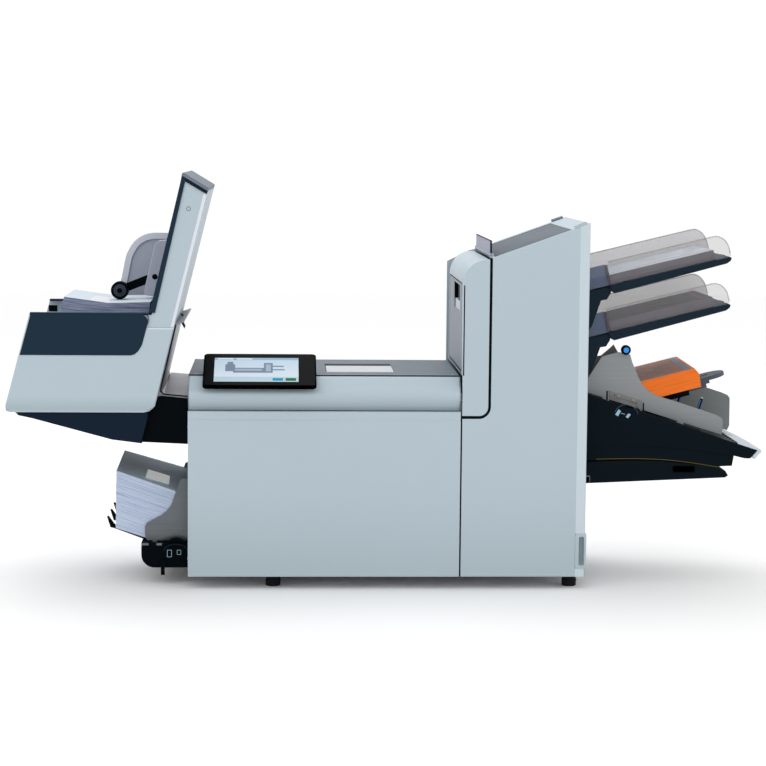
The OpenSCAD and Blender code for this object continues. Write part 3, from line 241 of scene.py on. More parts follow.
def shrunk(outline, d):
    """Closed outline moved inwards: a corner goes along its bisector by d over the half-angle cosine."""
    o = np.asarray(outline, float)
    e = np.roll(o, -1, 0) - o
    e /= np.linalg.norm(e, axis=1)[:, None] + 1e-12
    turn = np.sign(np.sum(o[:, 0] * np.roll(o[:, 1], -1) - o[:, 1] * np.roll(o[:, 0], -1)))
    n = np.stack([-e[:, 1], e[:, 0]], 1) * turn
    m = np.roll(n, 1, 0)
    d = np.broadcast_to(d, len(o))[:, None]
    return o + d * (n + m) / (1 + np.sum(n * m, 1))[:, None].clip(0.2)


def rolled(outline, axis, face, back, radius, steps=5):
    """Plate with a rolled rim: at angle a the outline moves in by r - r sin a, at the depth r - r cos a."""
    a = np.linspace(0, math.pi / 2, steps + 1)
    sign = 1 if back > face else -1
    rows = [(radius + 0.4 * np.minimum(radius, 1), face)]
    rows += [(radius - radius * math.sin(t), face + sign * (radius - radius * math.cos(t))) for t in a]
    rows.append((0.0, back))
    keep = [k for k in range(3) if k != axis]
    grid = np.empty((len(rows), len(outline), 3))
    for g, (inset, depth) in zip(grid, rows):
        g[:, axis] = depth
        g[:, keep] = shrunk(outline, inset)
    return lattice(grid, wrap_v=True, cap_u=True)


def ring(outer, inner, axis, lo, hi):
    """Frame between two outlines of the same count, drawn out along an axis."""
    keep = [k for k in range(3) if k != axis]
    rows = []
    for o, t in ((outer, lo), (outer, hi), (inner, hi), (inner, lo)):
        p = np.empty((len(o), 3))
        p[:, axis] = t
        p[:, keep] = o
        rows.append(p)
    return lattice(np.array(rows), wrap_u=True, wrap_v=True)


def slab(corners, thick):
    """Thin plate on four corners, raised by its thickness along their normal."""
    c = np.asarray(corners, float)
    n = np.cross(c[1] - c[0], c[3] - c[0])
    n /= np.linalg.norm(n)
    return lattice(np.array([c, c + n * thick]), wrap_v=True, cap_u=True)


def oblong(across, down, up=None):
    """Section of a straight bar, to be swept: half its width, then its depth below and above the path."""
    up = down if up is None else up
    return [(-across, -down), (across, -down), (across, up), (-across, up)]


def screw(at, axis, out, radius, height):
    """Domed screw head with a round socket, turned about its own axis."""
    r, h = radius, height
    profile = [(r, 0), (r, h * 0.45), (r * 0.93, h * 0.7), (r * 0.72, h * 0.92), (r * 0.5, h)]
    profile += [(r * 0.46, h * 0.9), (r * 0.42, h * 0.2), (0.05, h * 0.2)]
    return turned([(q, v * out) for q, v in profile], at, axis, 20)


def pile(front, rear, y0, y1, layers, wander, seed, slack=0.06):
    """Layered stack: layer k lies between the shares k/n and (k+1)/n of the way from lower to upper line."""
    rng = np.random.default_rng(seed)
    (fb, ft), (rb, rt) = ([np.asarray(v, float) for v in pair] for pair in (front, rear))
    parts = []
    for k in range(layers):
        shift = rng.normal(0, wander, 4).clip(-2.2 * wander, 2.2 * wander)
        rows = []
        for y, b, t, s in ((y0 + shift[0], fb, ft, shift[1]), (y1 + shift[2], rb, rt, shift[3])):
            lower = b + (t - b) * (k + slack) / layers
            upper = b + (t - b) * (k + 1 - slack) / layers
            o = np.concatenate([lower, upper[::-1]])
            rows.append(np.stack([o[:, 0] + s * 0.5, np.full(len(o), y), o[:, 1]], 1))
        parts.append(lattice(np.array(rows), wrap_v=True, cap_u=True))
    return joined(*parts)


def hoop(centre, axis, inner, outer, lo, hi, steps):
    """Ring of square section round an axis, with small chamfers."""
    c = min(0.4, (outer - inner) / 4)
    p = [(inner, lo), (outer - c, lo), (outer, lo + c), (outer, hi - c), (outer - c, hi)]
    p += [(inner, hi), (inner, lo)]
    return turned(p, centre, axis, steps, cap=False)


def knurled(centre, axis, radius, lo, hi, teeth, depth):
    """Toothed wheel: the radius follows the cosine of teeth times the angle, with both ends chamfered."""
    a = np.linspace(0, 2 * math.pi, teeth * 6, endpoint=False)
    wave = radius - depth * (0.5 - 0.5 * np.cos(a * teeth)) ** 2
    u, v = [k for k in range(3) if k != axis]
    rows = [(radius * 0.55, lo + 0.6), (radius * 0.6, lo), (None, lo), (None, lo + 0.8)]
    rows += [(None, hi - 0.8), (None, hi), (radius * 0.6, hi), (radius * 0.55, hi - 0.6)]
    grid = np.empty((len(rows), len(a), 3))
    for k, (g, (r, h)) in enumerate(zip(grid, rows)):
        w = wave - (1.0 if k in (2, 5) else 0.0) if r is None else np.full(len(a), r)
        g[:, u] = centre[u] + w * np.cos(a)
        g[:, v] = centre[v] + w * np.sin(a)
        g[:, axis] = h
    return lattice(grid, wrap_v=True, cap_u=True)


# Materials


def maths(operation, swap=False):
    """Method that adds one Math node on two numbers, the other one first where swapped."""

    def do(self, other):
        a, b = (other, self) if swap else (self, other)
        return self.sheet.node("ShaderNodeMath", {"operation": operation}, {0: a, 1: b})

    return do


class Value:
    """A number on the way through a material: arithmetic on it adds Math nodes."""

    def __init__(self, sheet, socket):
        self.sheet = sheet
        self.socket = socket

    __add__ = __radd__ = maths("ADD")
    __sub__ = maths("SUBTRACT")
    __rsub__ = maths("SUBTRACT", True)
    __mul__ = __rmul__ = maths("MULTIPLY")
    __truediv__ = maths("DIVIDE")
    __mod__ = maths("FLOORED_MODULO")
    __gt__ = maths("GREATER_THAN")
    __lt__ = maths("LESS_THAN")
    least = maths("MINIMUM")

    def ease(self, lo, hi):
        """0 below lo, 1 above hi, smooth between."""
        limits = {0: self, 1: lo, 2: hi, 3: 0.0, 4: 1.0}
        return self.sheet.node("ShaderNodeMapRange", {"interpolation_type": "SMOOTHSTEP"}, limits)


class Finish:
    """One material and the nodes it is made of."""

    def __init__(self, name):
        self.material = bpy.data.materials.new(name)
        self.material.use_nodes = True
        self.tree = self.material.node_tree
        self.shader = next(n for n in self.tree.nodes if n.type == "BSDF_PRINCIPLED")
        self.texture = None

    def node(self, kind, settings, inputs, out=0):
        """Adds a node: settings first, then values or links of its sockets."""
        n = self.tree.nodes.new(kind)
        for k, v in settings.items():
            setattr(n, k, v)
        for k, v in inputs.items():
            self._put(n.inputs[k], v)
        return Value(self, n.outputs[out])

    def _put(self, socket, v):
        if isinstance(v, Value):
            self.tree.links.new(v.socket, socket)
        else:
            socket.default_value = v

    def set(self, **inputs):
        """Feeds the shader's own sockets; underscores stand for spaces."""
        for k, v in inputs.items():
            self._put(self.shader.inputs[k.replace("_", " ")], v)
        return self

    def position(self):
        """Object coordinates, in metres of the shared frame."""
        if self.texture is None:
            self.texture = self.node("ShaderNodeTexCoord", {}, {}, "Object")
        return self.texture

    def machine(self):
        """Machine millimetres along X, Y and Z."""
        p = self.node("ShaderNodeSeparateXYZ", {}, {0: self.position()})
        y, z = Value(self, p.socket.node.outputs[1]), Value(self, p.socket.node.outputs[2])
        return (p - CORNER.x) * 1000, (y - CORNER.y) * 1000, z * 1000

    def vector(self, x, y, z):
        """Three values as one vector."""
        return self.node("ShaderNodeCombineXYZ", {}, {0: x, 1: y, 2: z})

    def noise(self, scale, detail=2.0, rough=0.5, at=None):
        """Smooth noise from 0 to 1, on object coordinates or on the vector given."""
        inputs = {"Vector": at or self.position(), "Scale": scale, "Detail": detail, "Roughness": rough}
        return self.node("ShaderNodeTexNoise", {}, inputs)

    def mix(self, factor, a, b):
        """Colour between a and b by the factor."""
        return self.node("ShaderNodeMix", {"data_type": "RGBA"}, {0: factor, 6: a, 7: b}, 2)

    def tint(self, colour, amount):
        """Colour times one plus an amount that changes over the surface."""
        grey = self.node("ShaderNodeCombineColor", {}, {0: 1 + amount, 1: 1 + amount, 2: 1 + amount})
        kind = {"data_type": "RGBA", "blend_type": "MULTIPLY"}
        return self.node("ShaderNodeMix", kind, {0: 1.0, 6: colour, 7: grey}, 2)

    def bump(self, height, strength=0.3, distance=0.0002):
        """Feeds the normal from a height, distance in metres."""
        inputs = {"Height": height, "Strength": strength, "Distance": distance}
        return self.set(Normal=self.node("ShaderNodeBump", {}, inputs))


def inside(x, y, x0, x1, y0, y1):
    """1 inside a rectangle, else 0."""
    return (x > x0) * (x < x1) * (y > y0) * (y < y1)


def within(x, y, *rectangles):
    """1 inside any of the rectangles, else 0: their sum, cut off at 1."""
    total = inside(x, y, *rectangles[0])
    for r in rectangles[1:]:
        total = total + inside(x, y, *r)
    return total.least(1.0)


def moulded(name, colour, roughness=0.42, grain=0.12, spread=0.05, grain_scale=1400.0, specular=0.5):
    """Moulded plastic: slow drift of tone, uneven gloss and a fine spark-eroded grain."""
    f = Finish(name)
    drift = f.noise(3.5, 3.0) - 0.5
    f.set(Base_Color=f.tint(colour, drift * spread * 2))
    f.set(Roughness=(f.noise(28.0, 4.0) - 0.5) * 0.14 + roughness, Specular_IOR_Level=specular)
    return f.bump(f.noise(grain_scale, 2.0), grain, 0.0001)


def sheet_steel(name, colour, roughness, metallic=0.75, strength=0.18):
    """Sheet steel: fine rolling lines, cloudy tone and a dull gloss."""
    f = Finish(name)
    x, y, z = f.machine()
    lines = f.noise(1.0, 3.0, 0.6, f.vector(x * 6.0 / 1000, y * 6.0 / 1000, z * 420.0 / 1000))
    cloud = f.noise(9.0, 4.0)
    f.set(Base_Color=f.tint(colour, (lines - 0.5) * 0.22 + (cloud - 0.5) * 0.16))
    f.set(Roughness=(lines - 0.5) * 0.2 + (cloud - 0.5) * 0.15 + roughness, Metallic=metallic)
    return f.bump(lines, strength, 0.0001)


FINISHES = {}


def finish(name):
    """The named material, made once."""
    if name not in FINISHES:
        FINISHES[name] = MAKERS[name]().material
    return FINISHES[name]


def plain(name, *colour, rough=0.42, grain=0.10, specular=0.3, spread=0.05, scale=1400.0):
    """Maker of a moulded finish in one screen colour."""
    return lambda: moulded(name, srgb(*colour), rough, grain, spread, scale, specular)


def shell_finish():
    """Light shell: fine grain, with painted shade towards the foot and in the grip cove."""
    f = Finish("shell_plastic")
    x, y, z = f.machine()
    drift = f.noise(3.0, 3.0) - 0.5
    # Painted shade: darker near the floor, and in the grip cove under the nose overhang
    foot = 1 - z.ease(20.0, 240.0)
    cove = (1 - z.ease(363.5, 396.0)) * (z > 363.2) * (y < 16.0) * (x < RIGHT - 256)
    f.set(Base_Color=f.tint(srgb(176, 191, 199), drift * 0.06 - foot * 0.09 - cove * 0.18))
    f.set(Roughness=(f.noise(28.0, 4.0) - 0.5) * 0.12 + 0.44, Specular_IOR_Level=0.3)
    return f.bump(f.noise(1400.0, 2.0), 0.10, 0.0001)


def stack_finish(name, face, line, dark, pitch, slope):
    """Edges of a stack: uneven lines along it, thin dark ones now and then."""
    f = Finish(name)
    x, y, z = f.machine()
    level = z - x * slope
    seam = f.noise(1.0, 3.0, 0.7, f.vector(x * 0.012, y * 0.012, level / pitch))
    deep = f.noise(1.0, 2.0, 0.6, f.vector(x * 0.006 + 9.0, y * 0.006, level / (pitch * 3.1)))
    colour = f.mix((seam - 0.5).ease(-0.12, 0.14), face, line)
    colour = f.mix(deep.ease(0.60, 0.68) * 0.8, colour, dark)
    f.set(Base_Color=colour, Roughness=0.62 + (seam - 0.5) * 0.2, Specular_IOR_Level=0.15)
    return f.bump(seam, 0.35, 0.0003)


def print_finish(name, paper, ink, accent, level, dark):
    """Printed top sheet: rows of short marks, a clouded picture and accent lines, none of it readable."""
    f = Finish(name)
    x, y, z = f.machine()
    # Way up the slope, by the cosine and sine of TRAY_TILT
    u = (x - RIGHT) * 0.9711 + (z - level) * 0.2385
    row = ((u / 4.2) % 1.0 < 0.5) * (f.noise(1.0, 2.0, 0.7, f.vector(u * 0.6, y * 0.45, 0.0)) > 0.52)
    part = f.noise(1.0, 2.0, 0.5, f.vector(u * 0.012, y * 0.02, 3.0)).ease(0.45, 0.5)
    cloud = f.noise(1.0, 4.0, 0.6, f.vector(u * 0.02, y * 0.03, 7.0)).ease(0.35, 0.65)
    marks = row * part * (y > 112) * (y < 298)
    colour = f.mix(marks * (0.2 if dark else 0.85), paper, ink)
    colour = f.mix(cloud * (0.75 if dark else 0.35), colour, ink)
    edge = ((y < 106) * (y > 102.5) + (y > 303) * (y < 307) + (u > 262) * (u < 266) * dark).least(1.0)
    colour = f.mix(edge * (1.0 if dark else 0.25), colour, accent)
    f.set(Base_Color=colour, Roughness=0.5 + f.noise(30.0) * 0.1, Specular_IOR_Level=0.2)
    return f.bump(f.noise(500.0, 2.0), 0.05, 0.0001)


def insert_print():
    """Printed top of the inserts: brown picture on orange, grey-blue frame lines and short marks."""
    f = Finish("insert_print")
    x, y, z = f.machine()
    # Way up the slope, by the cosine and sine of INSERT_TILT
    u = (x - RIGHT) * 0.9681 + (z - (FEEDER_Z - 55)) * 0.2504
    shade = f.noise(1.0, 3.0, 0.5, f.vector(u * 0.012, y * 0.014, 1.0)).ease(0.3, 0.7)
    colour = f.mix(0.35 + shade * 0.4, srgb(214, 112, 62), srgb(112, 82, 74))
    rows = ((y / 30.0) % 1.0 < 0.3) * (f.noise(1.0, 1.0, 0.5, f.vector(u * 0.14, y * 0.03, 4.0)) > 0.56)
    colour = f.mix(rows * 0.55, colour, srgb(150, 150, 155))
    rim = (u > 236) * (u < 247) + (y > 111) * (y < 116)
    colour = f.mix(rim.least(1.0) * (u < 247), colour, srgb(122, 142, 158))
    outside = ((u > 247) + (y < 108)).least(1.0)
    colour = f.mix(outside, colour, srgb(238, 124, 48))
    f.set(Base_Color=colour, Roughness=0.45 + f.noise(30.0) * 0.1, Specular_IOR_Level=0.2)
    return f.bump(f.noise(500.0, 2.0), 0.05, 0.0001)


def guide_steel():
    """Brushed hopper plate: lines along X, clouds, and painted shade above the wheel and along the lower
    edge.
    """
    f = Finish("hopper_steel")
    x, y, z = f.machine()
    lines = f.noise(1.0, 3.0, 0.6, f.vector(x * 0.006, y * 0.006, z * 0.5))
    cloud = f.noise(1.0, 4.0, 0.6, f.vector(x * 0.02, y * 0.02, z * 0.03))
    # Painted shade: near-black round the top of the wheel's arch and along the plate's lower edge
    near = (x + 27) * (x + 27) / 900 + (z - 86) * (z - 86) / 90
    painted_shade = (1 - near.ease(0.2, 1.6)) * 0.65 + (1 - z.ease(84.0, 92.0)) * 0.25
    colour = f.tint(srgb(106, 111, 116), (lines - 0.5) * 0.5 + (cloud - 0.5) * 0.3)
    f.set(Base_Color=f.mix(painted_shade.least(1.0), colour, srgb(30, 33, 37)))
    f.set(Roughness=(lines - 0.5) * 0.2 + 0.45, Metallic=0.35)
    return f.bump(lines, 0.15, 0.0001)


def smoke_finish(name="smoked_clear", tone=(176, 174, 178), alpha=0.42):
    """Smoked clear plastic: pale grey-lilac, seen through, with a sharp gloss."""
    f = Finish(name)
    haze = f.noise(12.0, 3.0)
    f.set(Base_Color=f.tint(srgb(*tone), (haze - 0.5) * 0.1), Roughness=0.14 + haze * 0.08)
    f.set(Alpha=alpha + (haze - 0.5) * 0.06, Specular_IOR_Level=0.3)
    return f.bump(f.noise(60.0, 2.0), 0.02, 0.0002)


def display_finish():
    """Lit display: pale page, a grey drawing of a machine, two buttons and a few blank fields."""
    f = Finish("display")
    x, y, z = f.machine()
    a = math.radians(SCREEN_TILT)
    u = x - 30
    v = (y + 20) * math.cos(a) + (z - (DECK - 22.7)) * math.sin(a)
    page = inside(u, v, 22.0, 192.0, 16.0, 113.0)
    art = (60, 140, 52, 72), (122, 140, 52, 92), (44, 64, 58, 86), (140, 164, 62, 67)
    art += (140, 162, 76, 81), (48, 60, 86, 96)
    glow = v.ease(16.0, 113.0)
    colour = f.mix(glow, srgb(214, 227, 238), srgb(196, 216, 230))
    # Bars at the top and bottom, drawing, its paler part, fields, buttons
    for mask, *tone in (
        (inside(u, v, 22.0, 192.0, 104.0, 113.0), 150, 182, 206),
        (inside(u, v, 22.0, 192.0, 16.0, 36.0), 186, 206, 220),
        (within(u, v, *art), 120, 138, 158),
        (within(u, v, (64, 118, 60, 68), (126, 136, 58, 86)), 164, 180, 196),
        (within(u, v, (28, 60, 106.5, 110.5), (66, 98, 106.5, 110.5)), 240, 246, 250),
        (inside(u, v, 166, 187, 20, 31), 10, 110, 40),
        (inside(u, v, 140, 161, 20, 31), 0, 150, 180),
    ):
        colour = f.mix(mask, colour, srgb(*tone))
    f.set(Base_Color=f.mix(page, srgb(1, 2, 4), f.mix(0.5, colour, srgb(40, 44, 48))))
    f.set(Emission_Color=f.mix(page, srgb(0, 0, 0), colour), Emission_Strength=0.46)
    f.set(Roughness=0.22 + f.noise(40.0, 2.0) * 0.05, Specular_IOR_Level=0.015)
    return f.bump(f.noise(300.0), 0.01, 0.0001)


# What makes each finish, by the name that the pieces use
MAKERS = {
    "shell": shell_finish,
    # Paler copy of the shell colour: painted highlight on the column strip, the column ledge and the guard
    # rim
    "shell_painted_highlight": plain("shell_painted_highlight", 214, 218, 228, rough=0.5),
    "guard": plain("guard_plastic", 176, 180, 196, rough=0.5, specular=0.2),
    # Paler copy of the shell colour on the tower's rounded corner: painted highlight
    "edge": plain("shell_edge_highlight", 194, 206, 213, rough=0.5),
    "hand": plain("hand_feed_plastic", 72, 84, 96, rough=0.5, specular=0.2),
    "lilac": plain("lilac_plastic", 146, 150, 166, rough=0.5, specular=0.2),
    "slate": plain("slate_plastic", 28, 45, 60, specular=0.06),
    "slate_rim": plain("slate_rim", 62, 80, 94, specular=0.15),
    "dark": plain("dark_plastic", 9, 19, 25, specular=0.04, rough=0.5),
    "tray": plain("tray_plastic", 24, 38, 49, specular=0.05, rough=0.5),
    "black": plain("black_plastic", 3, 8, 13, specular=0.03, rough=0.45),
    "navy": plain("navy_plastic", 18, 31, 47, specular=0.05),
    "hub": plain("hub_plastic", 30, 48, 66, rough=0.22, specular=0.4),
    "deck": plain("deck_plastic", 107, 117, 128, rough=0.55, grain=0.16, specular=0.2),
    "door": plain("door_plastic", 140, 147, 158, rough=0.5, specular=0.2),
    "pane": plain("window_pane", 176, 180, 190, rough=0.2, specular=0.2, grain=0.02),
    "pale": plain("pale_plastic", 190, 201, 212, specular=0.3),
    # Darker copy of the shell colour for the grip dish: painted shade in the recess
    "pocket": plain("pocket_plastic", 158, 172, 177, specular=0.1),
    "gloss": plain("gloss_black", 1, 1, 2, rough=0.3, grain=0.02, specular=0.002, spread=0.02),
    "blue": plain("blue_plastic", 24, 146, 236, rough=0.3, grain=0.04, specular=0.4),
    "sky": plain("marking_blue", 150, 184, 204, rough=0.5, specular=0.1, grain=0.02),
    "yellow": plain("yellow_seal", 88, 78, 20, rough=0.5, specular=0.2),
    "brass": lambda: sheet_steel("brass", srgb(196, 160, 92), 0.34, metallic=0.85),
    "steel": lambda: sheet_steel("sheet_steel", srgb(137, 141, 143), 0.46, metallic=0.25, strength=0.1),
    "steel_far": lambda: sheet_steel(
        "sheet_steel_far", srgb(120, 124, 124), 0.46, metallic=0.25, strength=0.1),
    "chute": lambda: sheet_steel("chute_steel", srgb(142, 142, 150), 0.42, metallic=0.3),
    "hopper_steel": guide_steel,
    "bright": lambda: sheet_steel("bright_steel", srgb(190, 192, 194), 0.28, metallic=0.9),
    "tabs": lambda: sheet_steel("tab_steel", srgb(95, 110, 120), 0.35, metallic=0.4),
    "rubber": plain("rubber", 20, 20, 22, rough=0.75, grain=0.3, scale=700.0, spread=0.08, specular=0.15),
    "documents": lambda: stack_finish(
        "document_edges", srgb(132, 128, 136), srgb(110, 106, 114), srgb(84, 80, 88), 1.5, 0.2456),
    "print_upper": lambda: print_finish(
        "print_upper", srgb(206, 210, 218), srgb(112, 124, 136), srgb(140, 140, 150), TRAY_Z, 0),
    "print_lower": lambda: print_finish(
        "print_lower", srgb(98, 101, 97), srgb(48, 54, 50), srgb(176, 72, 80), TRAY_Z - TRAY_STEP, 1),
    "inserts": lambda: stack_finish(
        "insert_edges", srgb(243, 124, 42), srgb(232, 112, 34), srgb(216, 100, 28), 1.2, 0.2586),
    "insert_print": insert_print,
    "envelopes": lambda: stack_finish(
        "envelope_edges", srgb(200, 212, 232), srgb(184, 197, 222), srgb(150, 164, 198), 1.6, -0.34),
    "envelope_top": plain("envelope_paper", 214, 228, 240, rough=0.6, grain=0.06, specular=0.1, spread=0.12),
    "output": lambda: stack_finish(
        "output_edges", srgb(164, 173, 198), srgb(116, 127, 158), srgb(62, 72, 100), 2.6, -0.08),
    "output_top": plain("output_paper", 208, 219, 228, rough=0.6, grain=0.06, specular=0.1, spread=0.06),
    # Window of the top envelope: its emission is painted light, lifting it out of the shade under the stacker
    "glow_patch": lambda: moulded("window_painted_glow", srgb(240, 240, 240), 0.35, 0.03).set(
        Emission_Color=(1.0, 1.0, 1.0, 1.0), Emission_Strength=0.16),
    "pink_patch": plain("output_patch", 222, 224, 232, rough=0.35, specular=0.3, grain=0.03),
    "smoke": smoke_finish,
    "smoke_front": lambda: smoke_finish("smoked_front", (140, 138, 142), 0.20),
    "smoke_edge": lambda: smoke_finish("smoked_edge", (140, 134, 130), 0.26),
    "smoke_bar": lambda: smoke_finish("smoked_bar", (84, 76, 82), 0.72),
    "smoke_throat": lambda: smoke_finish("smoked_throat", (92, 104, 128), 0.72),
    "display": display_finish,
}


# Pieces


def make_object(name, points, faces, metres=False):
    """Mesh object from points in machine millimetres, or in metres of the frame."""
    mesh = bpy.data.meshes.new(name)
    mesh.from_pydata((points if metres else place(points)).tolist(), [], faces)
    mesh.validate()
    o = bpy.data.objects.new(name, mesh)
    bpy.context.scene.collection.objects.link(o)
    return o


def soften(o, width, angle=34.0, segments=2):
    """Shades smooth and rounds the sharp edges; width in millimetres."""
    o.data.shade_smooth()
    o.data.polygons.foreach_set("use_smooth", [len(p.vertices) < 5 for p in o.data.polygons])
    if width:
        b = o.modifiers.new("edges", "BEVEL")
        b.width = width / 1000
        b.segments = segments
        b.limit_method = "ANGLE"
        b.angle_limit = math.radians(angle)
        b.harden_normals = True
        b.use_clamp_overlap = True
    else:
        o.data.set_sharp_from_angle(angle=math.radians(angle))
    return o


def piece(name, part, material, body, width=0.5, stands_for=(), angle=34.0):
    """A new piece from one surface, riding on a body."""
    points, faces = part
    o = make_object(name, np.asarray(points), faces)
    bm = bmesh.new()
    bm.from_mesh(o.data)
    bmesh.ops.remove_doubles(bm, verts=bm.verts, dist=1e-6)
    bmesh.ops.recalc_face_normals(bm, faces=bm.faces)
    bm.to_mesh(o.data)
    bm.free()
    o.data.materials.append(finish(material))
    soften(o, width, angle)
    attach(o, body)
    if stands_for:
        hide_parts(*stands_for)
    return o


def dressed(node, material, width, segments=2, keep_above=None):
    """Merged copy of a CAD node with rounded edges, which stands for it; its front may be cut off in Y."""
    source = frame["nodes"][node]
    mesh = source.data.copy()
    mesh.name = node + "_looks"
    o = bpy.data.objects.new(mesh.name, mesh)
    bpy.context.scene.collection.objects.link(o)
    bm = bmesh.new()
    bm.from_mesh(mesh)
    bmesh.ops.remove_doubles(bm, verts=bm.verts, dist=2e-6)
    bmesh.ops.dissolve_limit(bm, angle_limit=math.radians(0.6), verts=bm.verts, edges=bm.edges)
    if keep_above is not None:
        at = Vector(place([0.0, keep_above, 0.0]))
        whole = bm.verts[:] + bm.edges[:] + bm.faces[:]
        bmesh.ops.bisect_plane(bm, geom=whole, plane_co=at, plane_no=(0, 1, 0), clear_inner=True)
    bm.to_mesh(mesh)
    bm.free()
    mesh.materials.clear()
    mesh.materials.append(finish(material))
    soften(o, width, segments=segments)
    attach(o, source["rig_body"])
    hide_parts(node)
    return o


def carried(node, material):
    """A CAD node kept as it is, with a finish."""
    o = frame["nodes"][node]
    o.data.materials.clear()
    o.data.materials.append(finish(material))
    return o


def screws(name, places, axis, out, radius, height, body="machine"):
    """Bright screw heads of one size as one piece."""
    heads = joined(*[screw(at, axis, out, radius, height) for at in places])
    return piece(name, heads, "bright", body, 0)


# Settings


class INSERTER_PG_shell(bpy.types.PropertyGroup):
    """Outer panels"""

    edge: bpy.props.FloatProperty(
        name="Panel edge", description="Rounding of the outer panels", default=0.0012, unit="LENGTH")
    corner: bpy.props.FloatProperty(
        name="Tower corner", description="Radius of the tower's front corner", default=0.005, unit="LENGTH")
    roll: bpy.props.FloatProperty(
        name="Stacker rim", description="Radius of the stacker's rim", default=0.0036, unit="LENGTH")


class INSERTER_PG_stage(bpy.types.PropertyGroup):
    """Camera and light"""

    lens: bpy.props.FloatProperty(name="Lens", description="Focal length in millimetres", default=104.5)
    key: bpy.props.FloatProperty(
        name="Key light", description="Strength of the main light, watts", default=4.0, subtype="POWER")
    sky: bpy.props.FloatProperty(
        name="Surround", description="Brightness of the white surround", default=1.02)
    floor: bpy.props.FloatVectorProperty(
        name="Floor", description="Colour of the floor", default=(0.97, 0.97, 0.97), subtype="COLOR")


def tray(part, level):
    """Part given along a document tray: X up its slope from the tower wall, Z square to it."""
    return turned_to(part, (RIGHT, 0, level), -TRAY_TILT)


def insert(part):
    """Part given along the insert stack: X up its slope from the tower wall."""
    return turned_to(part, (RIGHT, 0, FEEDER_Z - 55), -INSERT_TILT)


def tower_top(x):
    """Height of the sloping tower top at x."""
    return TOWER_Z - (RIGHT - x) * math.tan(math.radians(TOP_SLOPE))


def deck_line(x):
    """Height of the falling insert deck at x."""
    return FEEDER_Z - (x - RIGHT) * math.tan(math.radians(DECK_FALL))


def envelope_line(x):
    """Underside of the envelope stack at x, along the ramp bars."""
    return 85 - (x + 73) * math.tan(math.radians(HOPPER_TILT))


def plate_line(z):
    """Left face of the stacker's backing plate at a height: 92 mm to the right in 419 mm."""
    return -103 + (z - 417) * 92 / 419


